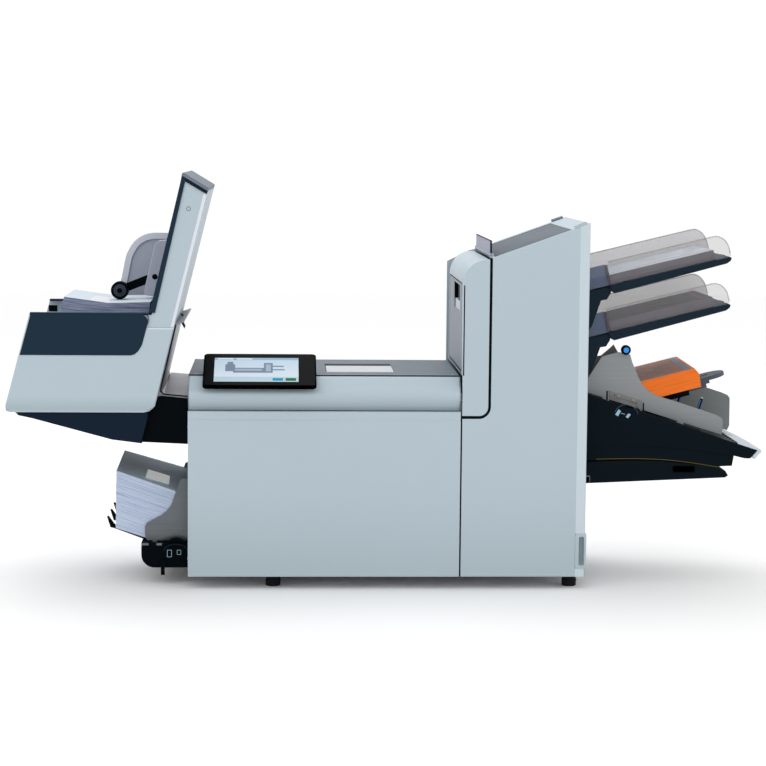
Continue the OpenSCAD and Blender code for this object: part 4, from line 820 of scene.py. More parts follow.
class INSERTER_OT_body(bpy.types.Operator):
    """Panels of the folding body and the tower"""

    bl_idname = "inserter.body"
    bl_label = "Body panels"

    def execute(self, context):
        w = context.scene.inserter_shell.edge * 1000
        r = context.scene.inserter_shell.corner * 1000
        profile = [(0, SILL), (0, 345), (1.2, 346.2), (1.2, 361.8), (2.4, 363), (14, 363), (14, 360.5)]
        profile += [(3.6, 360.5), (3.6, 346), (2.5, 344), (2.5, 28.5), (12, 28.5), (12, SILL)]
        door = drawn(profile, 0, 0, SEAM - 2.4)
        piece("front_door", door, "shell", "machine", 0.7, ("front_panel",), 25)
        # Tower front: plate, and corner strips above and below the hand grip
        neck = arc(TOWER_X - 24, 373.4, 24, -24, 0, 90, 9)
        outline = [(SEAM + 0.6, SILL), (785, SILL), (786, SILL), (786, tower_top(786))]
        outline += [(785, tower_top(785)), (TOWER_X, tower_top(TOWER_X))]
        outline += neck + [(SEAM + 0.6, 349.4)]
        radius = np.array([1.4, 1.4, 0.0, 0.0] + [1.4] * (len(outline) - 4))
        plate = rolled(outline, 1, 0, 2.5, radius)
        outer = arc(806 - r, r, r, r, -90, 0, 11)
        inner = arc(806 - r, r, r - 2.5, r - 2.5, 0, -90, 11)
        corner = np.array([(786, 0), (806 - r - 1, 0)] + outer + inner + [(786, 2.5)])
        strips = []
        for lo, hi in ((SILL, 43.2), (114.8, None)):
            top = np.full(len(corner), hi) if hi else tower_top(corner[:, 0])
            rows = [np.column_stack([corner, z]) for z in (np.full(len(corner), lo), top)]
            strips.append(lattice(np.array(rows), wrap_v=True, cap_u=True))
        folds = [box(SEAM + 0.6, SEAM + 3.1, 2.5, 12, SILL, 346.9)]
        folds += [box(SEAM + 0.6, 803.5, 2.5, 12, SILL, 28.5)]
        piece("tower_front", joined(plate, *folds), "shell", "machine", 0, ("tower_panel",), 40)
        # Corner strips in the paler shell colour: painted highlight on the rounded corner
        piece("tower_edge", joined(*strips), "edge", "machine", 0, (), 40)
        # Dark seal in the gaps beside the door and the column
        strip = [(TOWER_X, 673.5)] + neck + [(SEAM + 0.6, 349.4), (SEAM + 0.6, 355.3)]
        strip += arc(586.6, 373.3, 18, -18, 90, 0, 9) + [(604.6, 671.6)]
        seals = joined(drawn(strip, 1, 0.9, 1.9), box(SEAM - 2.3, SEAM + 0.5, 1.5, 3, 27, 349))
        piece("front_seals", seals, "black", "machine", 0)
        piece("column_shadow", box(552.8, 555.2, -0.3, 0.4, 437, 619), "black", "machine", 0.1)
        # Hand grip: frame, its side plate and the dish
        rim = rounded_outline([(786, 43), (808.5, 43), (808.5, 115), (786, 115)], 4)
        hole = rounded_outline([(793.5, 49.5), (804, 49.5), (804, 108.5), (793.5, 108.5)], 3)
        frame_ring = ring(rim, hole, 1, -1.2, 4)
        side = box(805.5, 808.5, 2.5, 20, 44, 114)
        piece("grip_frame", joined(frame_ring, side), "shell", "machine", 0.8)
        u, v = np.meshgrid(np.linspace(0, 1, 17), np.linspace(0, 1, 33), indexing="ij")
        dish = np.empty(u.shape + (3,))
        dish[..., 0] = 793 + 11.5 * u
        dish[..., 1] = 0.6 + 10.5 * (1 - abs(2 * u - 1) ** 4) * (1 - abs(2 * v - 1) ** 8)
        dish[..., 2] = 49 + 60 * v
        # Dish in the darker pocket colour: painted shade inside the grip
        piece("grip_dish", lattice(dish), "pocket", "machine", 0)
        for node in ("left_cover", "rear_cover", "right_cover"):
            dressed(node, "shell", w)
        carried("base_plate", "bright")
        # Feet turned on a lathe: flared rubber with a groove
        for k, (x, y) in enumerate(((172, 46), (780, 46), (172, 364), (780, 364))):
            foot = [(0.1, 0), (13.4, 0), (14.6, 1.2), (15, 8), (15.2, 13), (14, 14), (14, 16), (15.4, 17)]
            foot += [(16, 25.9), (0.1, 25.9)]
            stem = box(x - 6, x + 6, y - 6, y + 6, 28.2, 31)
            part = joined(turned(foot, (x, y, 0), 2, 40), stem)
            piece(f"foot_{k + 1}", part, "rubber", "machine", 0.3, ("feet",) if k == 0 else ())
        # Screws and a bare rating plate at the rear
        places = [(x, z) for x in (18, 276, 534) for z in (40, 415)]
        places += [(620, 40), (792, 40), (792, 700), (630, 640)]
        screws("rear_screws", [(x, 410.1, z) for x, z in places], 1, 1, 3.6, 1.8)
        label = rounded_outline([(640, 60), (720, 60), (720, 104), (640, 104)], 3)
        piece("rating_plate", drawn(label, 1, 409.9, 410.5), "bright", "machine", 0.1)
        screws("left_screws", [(-0.1, y, z) for y in (22, 388) for z in (60, 330)], 0, -1, 3.2, 1.6)
        places = [(806.1, y, z) for y in (30, 380) for z in (60, 250, 560, 690)]
        screws("right_screws", places, 0, 1, 3.2, 1.6)
        return {"FINISHED"}


class INSERTER_OT_cover(bpy.types.Operator):
    """Lift-up cover: nose with its cove, deck and window"""

    bl_idname = "inserter.cover"
    bl_label = "Lift-up cover"

    def execute(self, context):
        cut = 37.5
        dressed("top_cover", "shell", 0.8, keep_above=cut)
        nose = [(37.4, 431), (34, 430.2), (28, 427), (14, 414.4), (5, 406.2), (1.4, 402), (0.1, 398)]
        nose += [(0.6, 393.5), (2.6, 387.5), (6.4, 380), (10.2, 372.5), (13, 367.5), (14, 364.5)]
        line = eased(nose, 6)
        wall = np.concatenate([line, beside(line, 2.4)[::-1]])
        skin = drawn(wall, 0, 0.4, SEAM - 2.6)
        left = drawn(np.concatenate([line, [(26, 364.5), (26, 421), (37.4, 421)]]), 0, 0.4, 2.9)
        end = np.concatenate([line, [(30, 364.5), (30, 399), (37.4, 399)]])
        right = drawn(end, 0, SEAM - 5.1, SEAM - 2.6)
        piece("cover_nose", joined(skin, left, right), "shell", "cover", 0, (), 32)
        dressed("deck_plate", "deck", 0.25)
        gasket = [box(0.6, SEAM - 2.8, 37.42, 38.8, 430.6, 433.25)]
        gasket += [box(SEAM - 4, SEAM - 2.7, 38.1, 370, 431.5, 433.15)]
        gasket += [box(0.5, 1.6, 38.1, 370, 431.5, 433.1)]
        piece("deck_gasket", joined(*gasket), "black", "cover", 0)
        pane = rounded_outline([(279.5, 105.5), (418.5, 105.5), (418.5, 275.5), (279.5, 275.5)], 3)
        piece("deck_window", drawn(pane, 2, 432.1, 432.7), "pane", "cover", 0.1)
        rear = [box(279.2, 418.8, 240, 275.8, 432.2, 433.02), box(279.2, 280.4, 105.2, 275, 432.2, 433.05)]
        piece("deck_window_seal", joined(*rear), "black", "cover", 0)
        places = [(x, y, 432.9) for x in (14, 536) for y in (60, 352)]
        screws("deck_screws", places, 2, 1, 2.6, 0.6, "cover")
        return {"FINISHED"}


class INSERTER_OT_screen(bpy.types.Operator):
    """Touchscreen and its display"""

    bl_idname = "inserter.screen"
    bl_label = "Touchscreen"

    def execute(self, context):
        dressed("touchscreen", "gloss", 1.6, segments=3)
        carried("screen_glass", "display")
        return {"FINISHED"}


class INSERTER_OT_column(bpy.types.Operator):
    """Paper column, its door and the hand feed on the tower"""

    bl_idname = "inserter.column"
    bl_label = "Column and hand feed"

    def execute(self, context):
        dressed("column_cover", "shell", 1.2)
        dressed("access_door", "door", 0.8)
        # Dark border and pull of the door
        z0, z1 = 442, 621
        border = ring(
            rounded_outline([(42, z0), (376, z0), (376, z1), (42, z1)], 3),
            rounded_outline([(44, z0 + 2), (371, z0 + 2), (371, z1 - 2), (44, z1 - 2)], 3), 0, 552.3, 553)
        piece("door_border", border, "dark", "door", 0.1)
        latch = joined(box(556, 564.4, 103, 180, 578, 612), box(553, 564.4, 246.5, 254.2, 578, 612))
        piece("door_slot", latch, "black", "door", 0.2)
        piece("door_ledge", box(555.4, 564.4, 104, 246, 558, 577.8), "pale", "door", 0.3)
        dressed("hand_feed_plate", "hand", 0.3)
        # Dark front edge of the hand feed
        edge = turned_to(box(10, 174, 3.2, 4.6, -4.6, -2), (TOWER_X, 0, tower_top(TOWER_X)), -TOP_SLOPE)
        piece("hand_feed_edge", edge, "dark", "machine", 0.2)
        dressed("paper_stop", "lilac", 0.4)
        z = DECK + 245
        trim = [box(607.6, 611.2, 37.2, 38.6, z, z + 29.4), box(607.6, 611.2, 37.5, 373, z + 28.4, z + 29.5)]
        piece("paper_stop_trim", joined(*trim), "dark", "stop", 0.1)
        return {"FINISHED"}


class INSERTER_OT_trays(bpy.types.Operator):
    """Document trays, their guides and sheets"""

    bl_idname = "inserter.trays"
    bl_label = "Document trays"

    def execute(self, context):
        for k, (name, level) in enumerate((("upper", TRAY_Z), ("lower", TRAY_Z - TRAY_STEP))):
            dressed("tray_" + name, "tray", 0.8)
            tip = tray(box(309.2, 311.4, 150, 190, -5.5, -0.6), level)
            piece(f"tray_{name}_tab", tip, "black", "machine", 0.3)
            for side, y, h, ear in (("front", 85, 49, 1), ("rear", 322.5, 55, 14 if k == 0 else 5)):
                body = f"doc_{name}_{side}"
                node = f"{name}_guide_{side}"
                dressed(node, "smoke_front" if side == "front" else "smoke", 0.4)
                top = [(62 - 1.3 * ear + 1, h - 1.4)] + arc(284, 16, 26.8, h - 17.4, 90, 0, 16)
                path = at_depth(top + [(310.6, 6)], y + 1.25)
                path = np.concatenate([np.linspace(path[0], path[1], 12, endpoint=False), path[1:]])
                rim = swept(path, oblong(1.32, 1.2, 1.25))
                piece(node + "_rim", tray(rim, level), "smoke_edge", body, 0.2)
                if side == "front":
                    stiff = box(54 - ear + 0.4, 58.5, y - 0.3, y + 2.8, 1, h - 6)
                    piece(node + "_bar", tray(stiff, level), "smoke_bar", body, 0.3)
            sheets = "sheets_" + name
            lower, upper = [(-15, 0.1), (281, 0.1)], [(-15, 19.6), (281, 19.6)]
            stack = pile((lower, upper), (lower, upper), 100, 310, 13, 0.22, 7 + k, 0.05)
            piece(sheets + "_edges", tray(stack, level), "documents", "machine", 0, (sheets,))
            top = box(-14.8, 280.6, 100.2, 309.8, 19.6, 20.1)
            piece(sheets + "_top", tray(top, level), "print_" + name, "machine", 0)
            throat = box(8, 54, 88, 90, 0, 44)
            piece("tray_" + name + "_throat", tray(throat, level), "smoke_throat", "machine", 0.3)
            # Black strip under the sheets: painted shadow along the ledge between sheets and tray
            foot = box(54, 281, 100.4, 309.6, -0.35, 0.1)
            piece(sheets + "_foot", tray(foot, level), "black", "machine", 0)
        return {"FINISHED"}


class INSERTER_OT_feeder(bpy.types.Operator):
    """Insert feeder with its steel plates, stack and flap"""

    bl_idname = "inserter.feeder"
    bl_label = "Insert feeder"

    def execute(self, context):
        dressed("feeder_housing", "dark", 1.2)
        dressed("feeder_end_tray", "pale", 0.8)
        dressed("insert_guide_front", "steel", 0.4)
        dressed("insert_guide_rear", "steel_far", 0.4)
        dressed("stack_support", "hand", 1.0)
        dressed("lower_flap", "dark", 2.0, segments=3)
        low, mid = [(102, 0), (258, 0)], [(100.5, 28), (260, 28)]
        front, rear = [(100, 40.1), (253.6, 39.8)], [(100, 46.1), (253.6, 45.6)]
        stack = joined(
            pile((low, mid), (low, mid), 100.5, 309.5, 17, 0.25, 11, 0.03),
            pile((mid, front), (mid, rear), 100.5, 309.5, 9, 0.2, 12, 0.03))
        piece("insert_edges", insert(stack), "inserts", "machine", 0, ("insert_stack",))
        top = slab([(100, 100.7, 40.1), (253.4, 100.7, 39.8), (253.4, 309.3, 45.6), (100, 309.3, 46.1)], 0.4)
        piece("insert_top", insert(top), "insert_print", "machine", 0)
        # Wheel with finger notches, knob with its blue disc
        wx, wz = 894, deck_line(894) - 20
        rim = knurled((wx, 0, wz), 1, 23, 65.2, 74.6, 44, 0.9)
        shaft = turned([(0.1, 62.2), (3, 62.2), (3, 87), (0.1, 87)], (wx, 0, wz), 1, 24)
        wheel = joined(rim, shaft)
        piece("insert_wheel_rim", wheel, "black", "insert_wheel", 0, ("insert_thumbwheel",), 40)
        kx, kz = RIGHT + 90, FEEDER_Z + 86
        knob = [(0.1, 86.6), (7.2, 86.6), (7.6, 87), (7.8, 88.2), (9.6, 88.6), (10, 89.2), (10, 96.4)]
        knob += [(9.4, 97.1), (2.5, 97.1), (2.5, 100), (5.5, 100), (5.5, 102.5), (0.1, 102.5)]
        piece("knob_body", turned(knob, (kx, 0, kz), 1, 40), "black", "knob", 0, ("clamp_knob",), 30)
        disc = [(0.1, 86.3), (5.3, 86.3), (5.8, 86.7), (5.8, 87.6), (0.1, 87.6)]
        piece("knob_disc", turned(disc, (kx, 0, kz), 1, 40), "blue", "knob", 0, (), 30)
        # Bracket on the front plate with its screws and rivets
        x = RIGHT
        bracket = [(x + 58, 397), (x + 128, 376), (x + 128, 357), (x + 125, 355), (x + 119, 360)]
        bracket += [(x + 112, 370), (x + 100, 374.5), (x + 91, 379.5), (x + 74, 379.5)]
        bracket += [(x + 64, 382), (x + 58, 384)]
        piece("insert_bracket", drawn(bracket, 1, 95.6, 97.6), "steel_far", "insert_front", 0.3)
        heads = [screw((883, 95.7, 386), 1, -1, 2.8, 1.6), screw((914, 95.7, 377), 1, -1, 2.8, 1.6)]
        piece("bracket_screws", joined(*heads), "brass", "insert_front", 0)
        dots = [screw((875, 95.7, 388), 1, -1, 1.3, 0.8), screw((921, 95.7, 372), 1, -1, 1.3, 0.8)]
        piece("bracket_rivets", joined(*dots), "black", "insert_front", 0)
        slits = [box(858, 861, 97.2, 97.9, 378, 397), box(934, 937, 97.2, 97.9, 353, 372)]
        piece("bracket_slits", joined(*slits), "black", "insert_front", 0)
        # Slots of the rear plate: a blue right edge, and a dark backing that is painted shade seen through
        # the slots
        slots = ((1045.5, 346), (1087.5, 334))
        slips = [drawn([(a, b), (a + 1.6, b - 0.5), (a + 9, b + 21), (a + 7.4, b + 21.5)], 1, 309.6, 310.6)
                 for a, b in slots]
        piece("slot_edges", joined(*slips), "blue", "insert_rear", 0)
        at = (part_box("insert_guide_rear")[1].y - CORNER.y) * 1000
        shade_backs = [drawn([(a - 6, b + 0.5), (a + 5, b - 3), (a + 14, b + 23), (a + 2, b + 27)], 1, at, at + 0.5)
                 for a, b in slots]
        piece("slot_shade_backs", joined(*shade_backs), "black", "insert_rear", 0)
        # Recess arch over the wheel, plain width markings and a dark seam on the front wall
        arch = at_depth(arc(wx, wz, 25.2, 25.2, 158, 12, 22), 59.7)
        piece("wheel_arch", swept(arch, oblong(1.1, 0.5)), "slate_rim", "machine", 0)
        marks = [
            [(871.6, 352.1), (877.6, 348.5), (883.4, 359.3), (878.5, 362.9)],
            [(893.2, 347.4), (898.1, 344.3), (903.9, 352.2), (899.1, 354.6)],
            [(883.5, 354.5), (892, 352.2), (892, 353.2), (883.5, 355.5)],
        ]
        marks = [drawn(m, 1, 59.75, 60.1) for m in marks]
        piece("width_marks", joined(*marks), "sky", "machine", 0)
        slot = drawn([(935, 357), (1047, 320.7), (1047, 318.9), (935, 355.2)], 1, 59.8, 60.2)
        piece("deck_seam", slot, "black", "machine", 0)
        # Seal along the underframe, rim of the flap's grip, cover of its lug, slit of the end tray
        line = eased([(834, 259.5), (880, 260.6), (918, 261), (978, 258.5), (1039, 251.5), (1087, 243.5)], 5)
        seal = swept(at_depth(line, 61.2), oblong(0.9, 0.6))
        piece("flap_seal", seal, "yellow", "machine", 0)
        outer = [(x + 185.5, 231.5), (x + 233.5, 231.5), (x + 233.5, 247), (x + 185.5, 247)]
        inner = [(x + 187.5, 233.6), (x + 231.5, 233.6), (x + 231.5, 245.3), (x + 187.5, 245.3)]
        grip = ring(rounded_outline(outer, 4), rounded_outline(inner, 3), 1, 59.4, 61)
        piece("flap_grip_rim", grip, "black", "flap", 0.2)
        piece("flap_lug_cover", box(806.2, 821, 54, 59.4, 211, 225), "black", "machine", 0.4)
        slit = ((1122, 212), (1146, 212), (1146, 218), (1122, 218))
        slit = slab([(a, b, deck_line(a) + 3.05) for a, b in slit], 0.25)
        piece("end_tray_slit", slit, "dark", "machine", 0)
        return {"FINISHED"}


class INSERTER_OT_hopper(bpy.types.Operator):
    """Envelope hopper"""

    bl_idname = "inserter.hopper"
    bl_label = "Envelope hopper"

    def execute(self, context):
        dressed("hopper_base", "black", 1.6, segments=3)
        dressed("hopper_guide_front", "hopper_steel", 0.4)
        dressed("hopper_guide_rear", "hopper_steel", 0.4)
        dressed("hopper_lever", "black", 0.6)
        low = [(-151, envelope_line(-151)), (-73, 85.1), (2, 85.1)]
        top = [(-149.5, 229.6), (-73, 202.6), (3.6, 175.6)]
        high = [(-149.5, 239.1), (-73, 217.4), (3.6, 195.4)]
        stack = pile((low, top), (low, high), 85.2, 324.8, 34, 0.45, 23, 0.04)
        piece("envelope_edges", stack, "envelopes", "machine", 0, ("envelope_stack",))
        corners = [(-149.3, 85.6, 229.6), (3.4, 85.6, 175.7), (3.4, 324.4, 195.5), (-149.3, 324.4, 239.1)]
        piece("envelope_face", slab(corners, 0.45), "envelope_top", "machine", 0)
        sheet = []
        for px, py in ((-91, 105), (-44, 118), (-45, 190), (-91, 190)):
            s, t = (px + 149.5) / 153.1, (py - 85.2) / 239.6
            front, back = 230.1 + s * (176.1 - 230.1), 239.6 + s * (195.9 - 239.6)
            sheet.append((px, py, front + t * (back - front) + 2.4))
        # The window takes the faintly glowing finish: painted light
        piece("envelope_window", slab(sheet, 0.25), "glow_patch", "machine", 0)
        rim = knurled((-27, 0, 73), 1, 22, 60.2, 68.2, 40, 0.9)
        shaft = turned([(0.1, 57.2), (3, 57.2), (3, 77), (0.1, 77)], (-27, 0, 73), 1, 24)
        wheel = joined(rim, shaft)
        piece("hopper_wheel_rim", wheel, "black", "hopper_wheel", 0, ("hopper_thumbwheel",), 40)
        arch = at_depth(arc(-27, 68, 24.5, 15, 175, 5, 22), 54.8)
        piece("hopper_arch", swept(arch, oblong(1, 0.5)), "slate", "machine", 0)
        frames = []
        for x0, x1, z0, z1 in ((-44.5, -35, 56, 71), (-24.4, -16.1, 61, 71)):
            o = rounded_outline([(x0, z0), (x1, z0), (x1, z1), (x0, z1)], 1)
            frames.append(ring(o, shrunk(o, 0.9), 1, 54.75, 55.1))
        piece("hopper_marks", joined(*frames), "sky", "machine", 0)
        tabs = [box(x0, x1, 53.6, 56, 80.5, 85) for x0, x1 in ((-97, -82), (-66, -55))]
        piece("hopper_tabs", joined(*tabs), "tabs", "machine", 0.4)
        return {"FINISHED"}


class INSERTER_OT_stacker(bpy.types.Operator):
    """Output stacker with its mount, arm and envelopes"""

    bl_idname = "inserter.stacker"
    bl_label = "Output stacker"

    def execute(self, context):
        r = context.scene.inserter_shell.roll * 1000
        base = [(-352, 359.5), (-84, 359.5), (-66, 371), (-28, 530)]
        base += [(-79, 530), (-79, 556), (-315, 556), (-365, 369)]
        base = rounded_outline(base, [9, 22, 10, 0, 0, 0, 0, 9], 6)
        column = [(-79, 530), (-28, 530), (40.2, 803), (-11.8, 833.6), (-71.7, 556), (-79, 556)]
        whole = [(-352, 359.5), (-84, 359.5), (-66, 371), (-28, 530), (40.2, 803)]
        whole += [(-11.8, 833.6), (-71.7, 556), (-315, 556), (-365, 369)]
        whole = rounded_outline(whole, [9, 22, 10, 0, 0, 0, 0, 0, 9], 6)
        walls = [(-355, 359.5), (-88, 359.5), (-77, 362.2), (-69.5, 368.5), (-65.5, 376), (-28, 530)]
        walls += [(40.2, 803), (36, 805.4), (-31, 531), (-68, 377), (-74, 366.5), (-85, 362.5)]
        walls += [(-350, 362.5), (-359.4, 369), (-338, 455), (-341, 457), (-363.8, 369), (-362.5, 362)]
        near = joined(rolled(base, 1, 0, 4, r), rolled(column, 1, 2.2, 4, 0.8, 3))
        shell = joined(near, rolled(whole, 1, 400, 396, r), drawn(walls, 1, 4, 396))
        piece("stacker_walls", shell, "shell", "machine", 0, ("stacker_shell",), 32)
        # Column strip and ledge in the paler shell colour: painted highlight
        strip = [(-28.6, 531), (39.6, 802.8), (33.5, 806.2), (-34.4, 532)]
        piece("column_strip", drawn(strip, 1, 1.6, 2.6), "shell_painted_highlight", "machine", 0.2)
        ledge = box(-78.6, -28.4, 0.2, 3.4, 527.6, 530.1)
        piece("column_ledge", ledge, "shell_painted_highlight", "machine", 0.3)
        plug = hoop((1.7, 0, 768), 1, 3.6, 4.4, 1.8, 2.6, 32)
        piece("column_plug", plug, "slate_rim", "machine", 0)
        dressed("stacker_bed", "slate", 0.5)
        dressed("stacker_band", "slate", 0.5)
        # Pale rail that wraps the band's corner
        bend = [(-313, 559.7), (-200, 559.9), (-110, 559.9), (-88, 559.2)]
        rail = at_depth(eased(bend + [(-80.5, 555.5), (-78.2, 549), (-79, 540)], 6), -1.0)
        piece("rail_bead", swept(rail, oblong(0.5, 1.2, 0.9)), "slate_rim", "machine", 0.2)
        dressed("rear_guard", "guard", 0.8)
        guard = [(-171.5, 557), (-168, 570), (-158, 610), (-150, 650), (-143, 668)]
        guard = eased(guard + [(-131, 686), (-113, 699), (-91, 705), (-50, 705)], 6)
        near = (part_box("rear_guard")[0].y - CORNER.y) * 1000
        band = drawn(np.concatenate([guard, beside(guard, -13)[::-1]]), 1, near - 0.5, near + 1)
        # Guard rim in the paler shell colour: painted highlight
        piece("guard_rim", band, "shell_painted_highlight", "machine", 0)
        far = box(-313.4, -168.4, 379.8, 381, 556.4, 561.2)
        piece("far_rail", far, "slate", "machine", 0.2)
        catch = box(-315.5, -297, 379, 382, 534, 547.5)
        piece("far_catch", catch, "black", "machine", 0.4)
        self.plate()
        dressed("stacker_mount", "black", 1.0)
        wedge = [(-343, 356), (-338, 352.6), (-283, 341), (-152, 305.6), (-94, 298.6)]
        wedge = rounded_outline(wedge + [(-80.5, 350), (-80.5, 359)], 1.5, 3)
        wedge = np.concatenate([wedge, [(-343, 359)]])
        piece("mount_face", drawn(wedge, 1, 7.6, 8.4), "navy", "machine", 0.3)
        dressed("exit_chute", "chute", 0.3)
        line = eased([(-25, 534), (-40, 470), (-55, 406), (-53, 398), (-47, 393.5), (-8, 390), (7, 388)], 5)
        bead = swept(at_depth(line, 33.4), oblong(0.8, 1.3))
        piece("chute_edge", bead, "black", "machine", 0.2)
        hook = [(-24.5, 545), (-21, 541), (-23, 527), (-15, 513), (-13, 519), (-18, 529), (-17, 543)]
        piece("chute_hook", drawn(hook, 1, 196, 204), "slate", "machine", 0.4)
        self.paper()
        self.arm()
        return {"FINISHED"}

    def plate(self):
        """Backing plate, its edge strip, the two cheeks and the cap."""
        body = drawn([(-103, 417), (-98, 415.9), (-7, 833), (-11, 836)], 1, 4, 396)
        edge = rounded_outline([(-76, 560.2), (-65, 560.2), (-4, 826), (-11, 834)], 0.6, 2)
        strip = drawn(edge, 1, -1, 4)
        piece("backing_sheet", joined(body, strip), "slate", "machine", 0.4, ("backing_plate",))
        cheek = [(plate_line(580) + 2, 578), (plate_line(580) - 33, 584), (plate_line(690) - 33, 688)]
        cheek += [(plate_line(696) - 26, 696), (plate_line(696) + 2, 698)]
        cheek = rounded_outline(cheek, [0, 8, 6, 4, 0], 5)
        sides = joined(*[drawn(cheek, 1, y, y + 12.4) for y in (188.0, 213.6)])
        piece("arm_cheeks", sides, "guard", "machine", 1.2)
        pin = [(0.1, 187.2), (5.2, 187.2), (5.8, 187.7), (5.8, 188.4), (0.1, 188.4)]
        piece("arm_pin_head", turned(pin, (-76, 0, 621.5), 1, 28), "black", "machine", 0)
        cap = rounded_outline([(-12.2, 833.84), (40.2, 803), (42.4, 809.5), (-10, 841)], [1, 1, 3, 4], 4)
        piece("column_cap", drawn(cap, 1, -1, 400), "deck", "machine", 0.6)
        face = rounded_outline([(-13, 827), (38, 797), (41.8, 808.9), (-10, 840.4)], [1, 1, 3, 4], 4)
        piece("column_cap_face", drawn(face, 1, -0.95, 1.2), "navy", "machine", 0.3)

    def paper(self):
        """Filled envelopes on the bed: layers fanned from the bed's slope to the sagging top."""
        low = [(-290, 458.6), (-197, 438.0), (-104, 417.5)]
        top = [(-254, 585.4), (-165, 573.0), (-79.5, 575.4)]
        stack = pile((low, top), (low, top), 90, 320, 46, 0.9, 31, 0.05)
        piece("output_edges", stack, "output", "machine", 0, ("output_stack",))
        line = np.array([(-254, 585.9), (-165, 573.5), (-79.5, 575.9)])
        shape = np.concatenate([line, (line - [0, 0.5])[::-1]])
        piece("output_face", drawn(shape, 1, 90.4, 319.6), "output_top", "machine", 0)
        line = np.array([(-203, 579.1), (-166, 573.9)])
        shape = np.concatenate([line, (line - [0, 0.3])[::-1]])
        piece("output_window", drawn(shape, 1, 100, 236), "pink_patch", "machine", 0)

    def arm(self):
        """Hold-down arm and its wheel: black tyre and a glossy hub."""
        dressed("hold_arm", "black", 1.0)
        centre = (-148, 0, 593.2)
        tyre = [(3.1, 178.4), (9.5, 178.4), (10, 179.4), (12.6, 179.2), (13.2, 178), (16.9, 178)]
        tyre += [(18.1, 178.8), (18.5, 180.4), (18.5, 198.2), (18.1, 199.8), (16.9, 200.5)]
        tyre = turned(tyre + [(3.1, 200.5), (3.1, 178.4)], centre, 1, 56)
        piece("wheel_tyre", tyre, "black", "wheel", 0, ("hold_wheel",), 28)
        hub = [(3.2, 178.3), (8.6, 178.3), (9.6, 178.8), (12.7, 179.0), (12.7, 180.2), (3.2, 180.2)]
        hub = turned(hub + [(3.2, 178.3)], centre, 1, 48)
        piece("wheel_hub", hub, "hub", "wheel", 0, (), 28)


class INSERTER_OT_drive(bpy.types.Operator):
    """Frames, rollers, drive and electrics inside"""

    bl_idname = "inserter.drive"
    bl_label = "Drive and frames"

    def execute(self, context):
        for node in ("side_frame_front", "side_frame_rear", "power_supply", "fold_plate", "motor_pulley"):
            carried(node, "bright")
        rollers = ("fold_roller_a", "fold_roller_b", "feed_roller_upper", "feed_roller_lower")
        for node in ("main_motor", "drive_belt") + rollers:
            carried(node, "rubber")
        dressed("power_rocker", "black", 0.8)
        return {"FINISHED"}


class INSERTER_OT_stage(bpy.types.Operator):
    """Floor, light and the camera at the photograph's angle"""

    bl_idname = "inserter.stage"
    bl_label = "Stage"

    def execute(self, context):
        scene = context.scene
        s = scene.inserter_stage
        ground = np.array([(-9, -9, 0), (9, -9, 0), (9, 9, 0), (-9, 9, 0)], float)
        floor = make_object("floor", ground, [(0, 1, 2, 3)], True)
        f = Finish("floor_paint")
        f.set(Base_Color=tuple(s.floor) + (1.0,), Roughness=0.85)
        floor.data.materials.append(f.material)
        world = bpy.data.worlds.new("studio")
        scene.world = world
        world.use_nodes = True
        back = world.node_tree.nodes["Background"]
        back.inputs["Color"].default_value = (1.0, 1.0, 1.0, 1.0)
        back.inputs["Strength"].default_value = s.sky
        for name, at, size, power in (
            ("key_light", (-1.6, -2.6, 2.6), 2.2, s.key),
            ("top_light", (-0.8, 1.5, 3.0), 2.6, s.key * 7.0),
            ("side_light", (3.0, -1.2, 1.6), 1.8, s.key * 0.8),
        ):
            lamp = bpy.data.lights.new(name, "AREA")
            lamp.size = size
            lamp.energy = power
            o = bpy.data.objects.new(name, lamp)
            scene.collection.objects.link(o)
            o.location = at
            o.rotation_euler = (Vector((0, 0, 0.4)) - Vector(at)).to_track_quat("-Z", "Y").to_euler()
        camera(scene, s.lens)
        scene.view_settings.view_transform = "Standard"
        return {"FINISHED"}


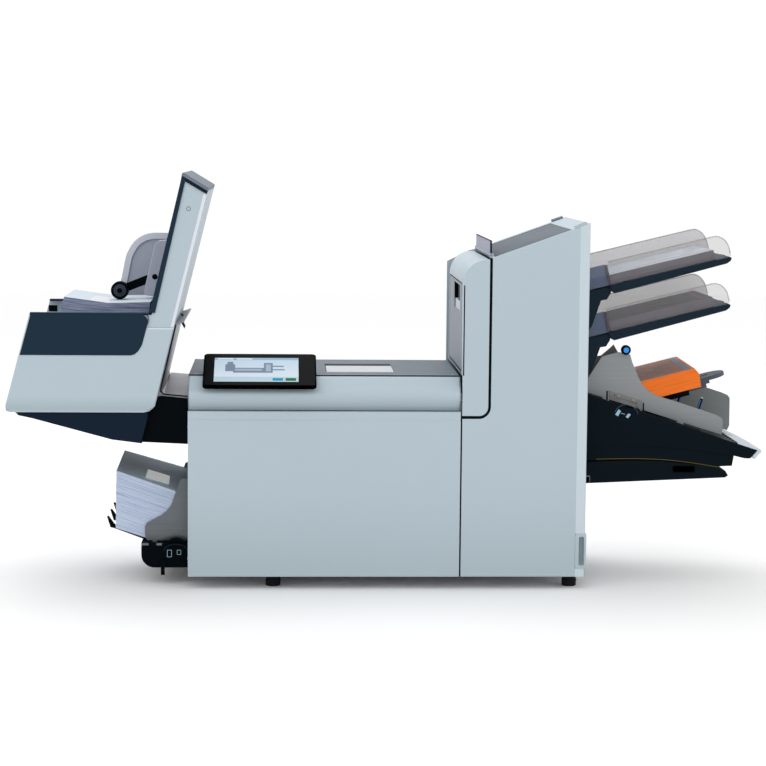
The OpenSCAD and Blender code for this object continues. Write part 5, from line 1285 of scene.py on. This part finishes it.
def camera(scene, lens):
    """Camera from the solved view: yaw right, pitch down and a small roll."""
    yaw, pitch, roll = (math.radians(a) for a in (2.586, 6.059, 0.503))
    ahead = np.array([math.sin(yaw) * math.cos(pitch), math.cos(yaw) * math.cos(pitch), -math.sin(pitch)])
    right = np.array([math.cos(yaw), -math.sin(yaw), 0.0])
    up = np.cross(right, ahead)
    r = math.cos(roll) * right + math.sin(roll) * up
    u = -math.sin(roll) * right + math.cos(roll) * up
    data = bpy.data.cameras.new("view")
    data.lens = lens
    data.sensor_width = 36.0
    data.clip_end = 50.0
    o = bpy.data.objects.new("view", data)
    scene.collection.objects.link(o)
    m = Matrix.Identity(4)
    for k, axis in enumerate((r, u, -ahead)):
        for row in range(3):
            m[row][k] = float(axis[row])
    at = place([191.06, -4442.18, 893.57])
    m.translation = Vector(at)
    o.matrix_world = m
    scene.camera = o


class INSERTER_PT_panel(bpy.types.Panel):
    """Lists the pieces of the folder inserter"""

    bl_idname = "INSERTER_PT_panel"
    bl_label = "Folder inserter"
    bl_space_type = "VIEW_3D"
    bl_region_type = "UI"
    bl_category = "Inserter"

    def draw(self, context):
        for group in (context.scene.inserter_shell, context.scene.inserter_stage):
            for name in group.__annotations__:
                self.layout.prop(group, name)
        for op in OPERATORS:
            self.layout.operator(op.bl_idname)


OPERATORS = (
    INSERTER_OT_stage,
    INSERTER_OT_body,
    INSERTER_OT_cover,
    INSERTER_OT_screen,
    INSERTER_OT_column,
    INSERTER_OT_trays,
    INSERTER_OT_feeder,
    INSERTER_OT_hopper,
    INSERTER_OT_stacker,
    INSERTER_OT_drive,
)
CLASSES = (INSERTER_PG_shell, INSERTER_PG_stage) + OPERATORS + (INSERTER_PT_panel,)


def register():
    for c in CLASSES:
        bpy.utils.register_class(c)
    bpy.types.Scene.inserter_shell = bpy.props.PointerProperty(type=INSERTER_PG_shell)
    bpy.types.Scene.inserter_stage = bpy.props.PointerProperty(type=INSERTER_PG_stage)


def unregister():
    del bpy.types.Scene.inserter_stage
    del bpy.types.Scene.inserter_shell
    for c in reversed(CLASSES):
        bpy.utils.unregister_class(c)


def main():
    register()
    for op in OPERATORS:
        group, name = op.bl_idname.split(".")
        getattr(getattr(bpy.ops, group), name)()


if __name__ == "__main__":
    main()
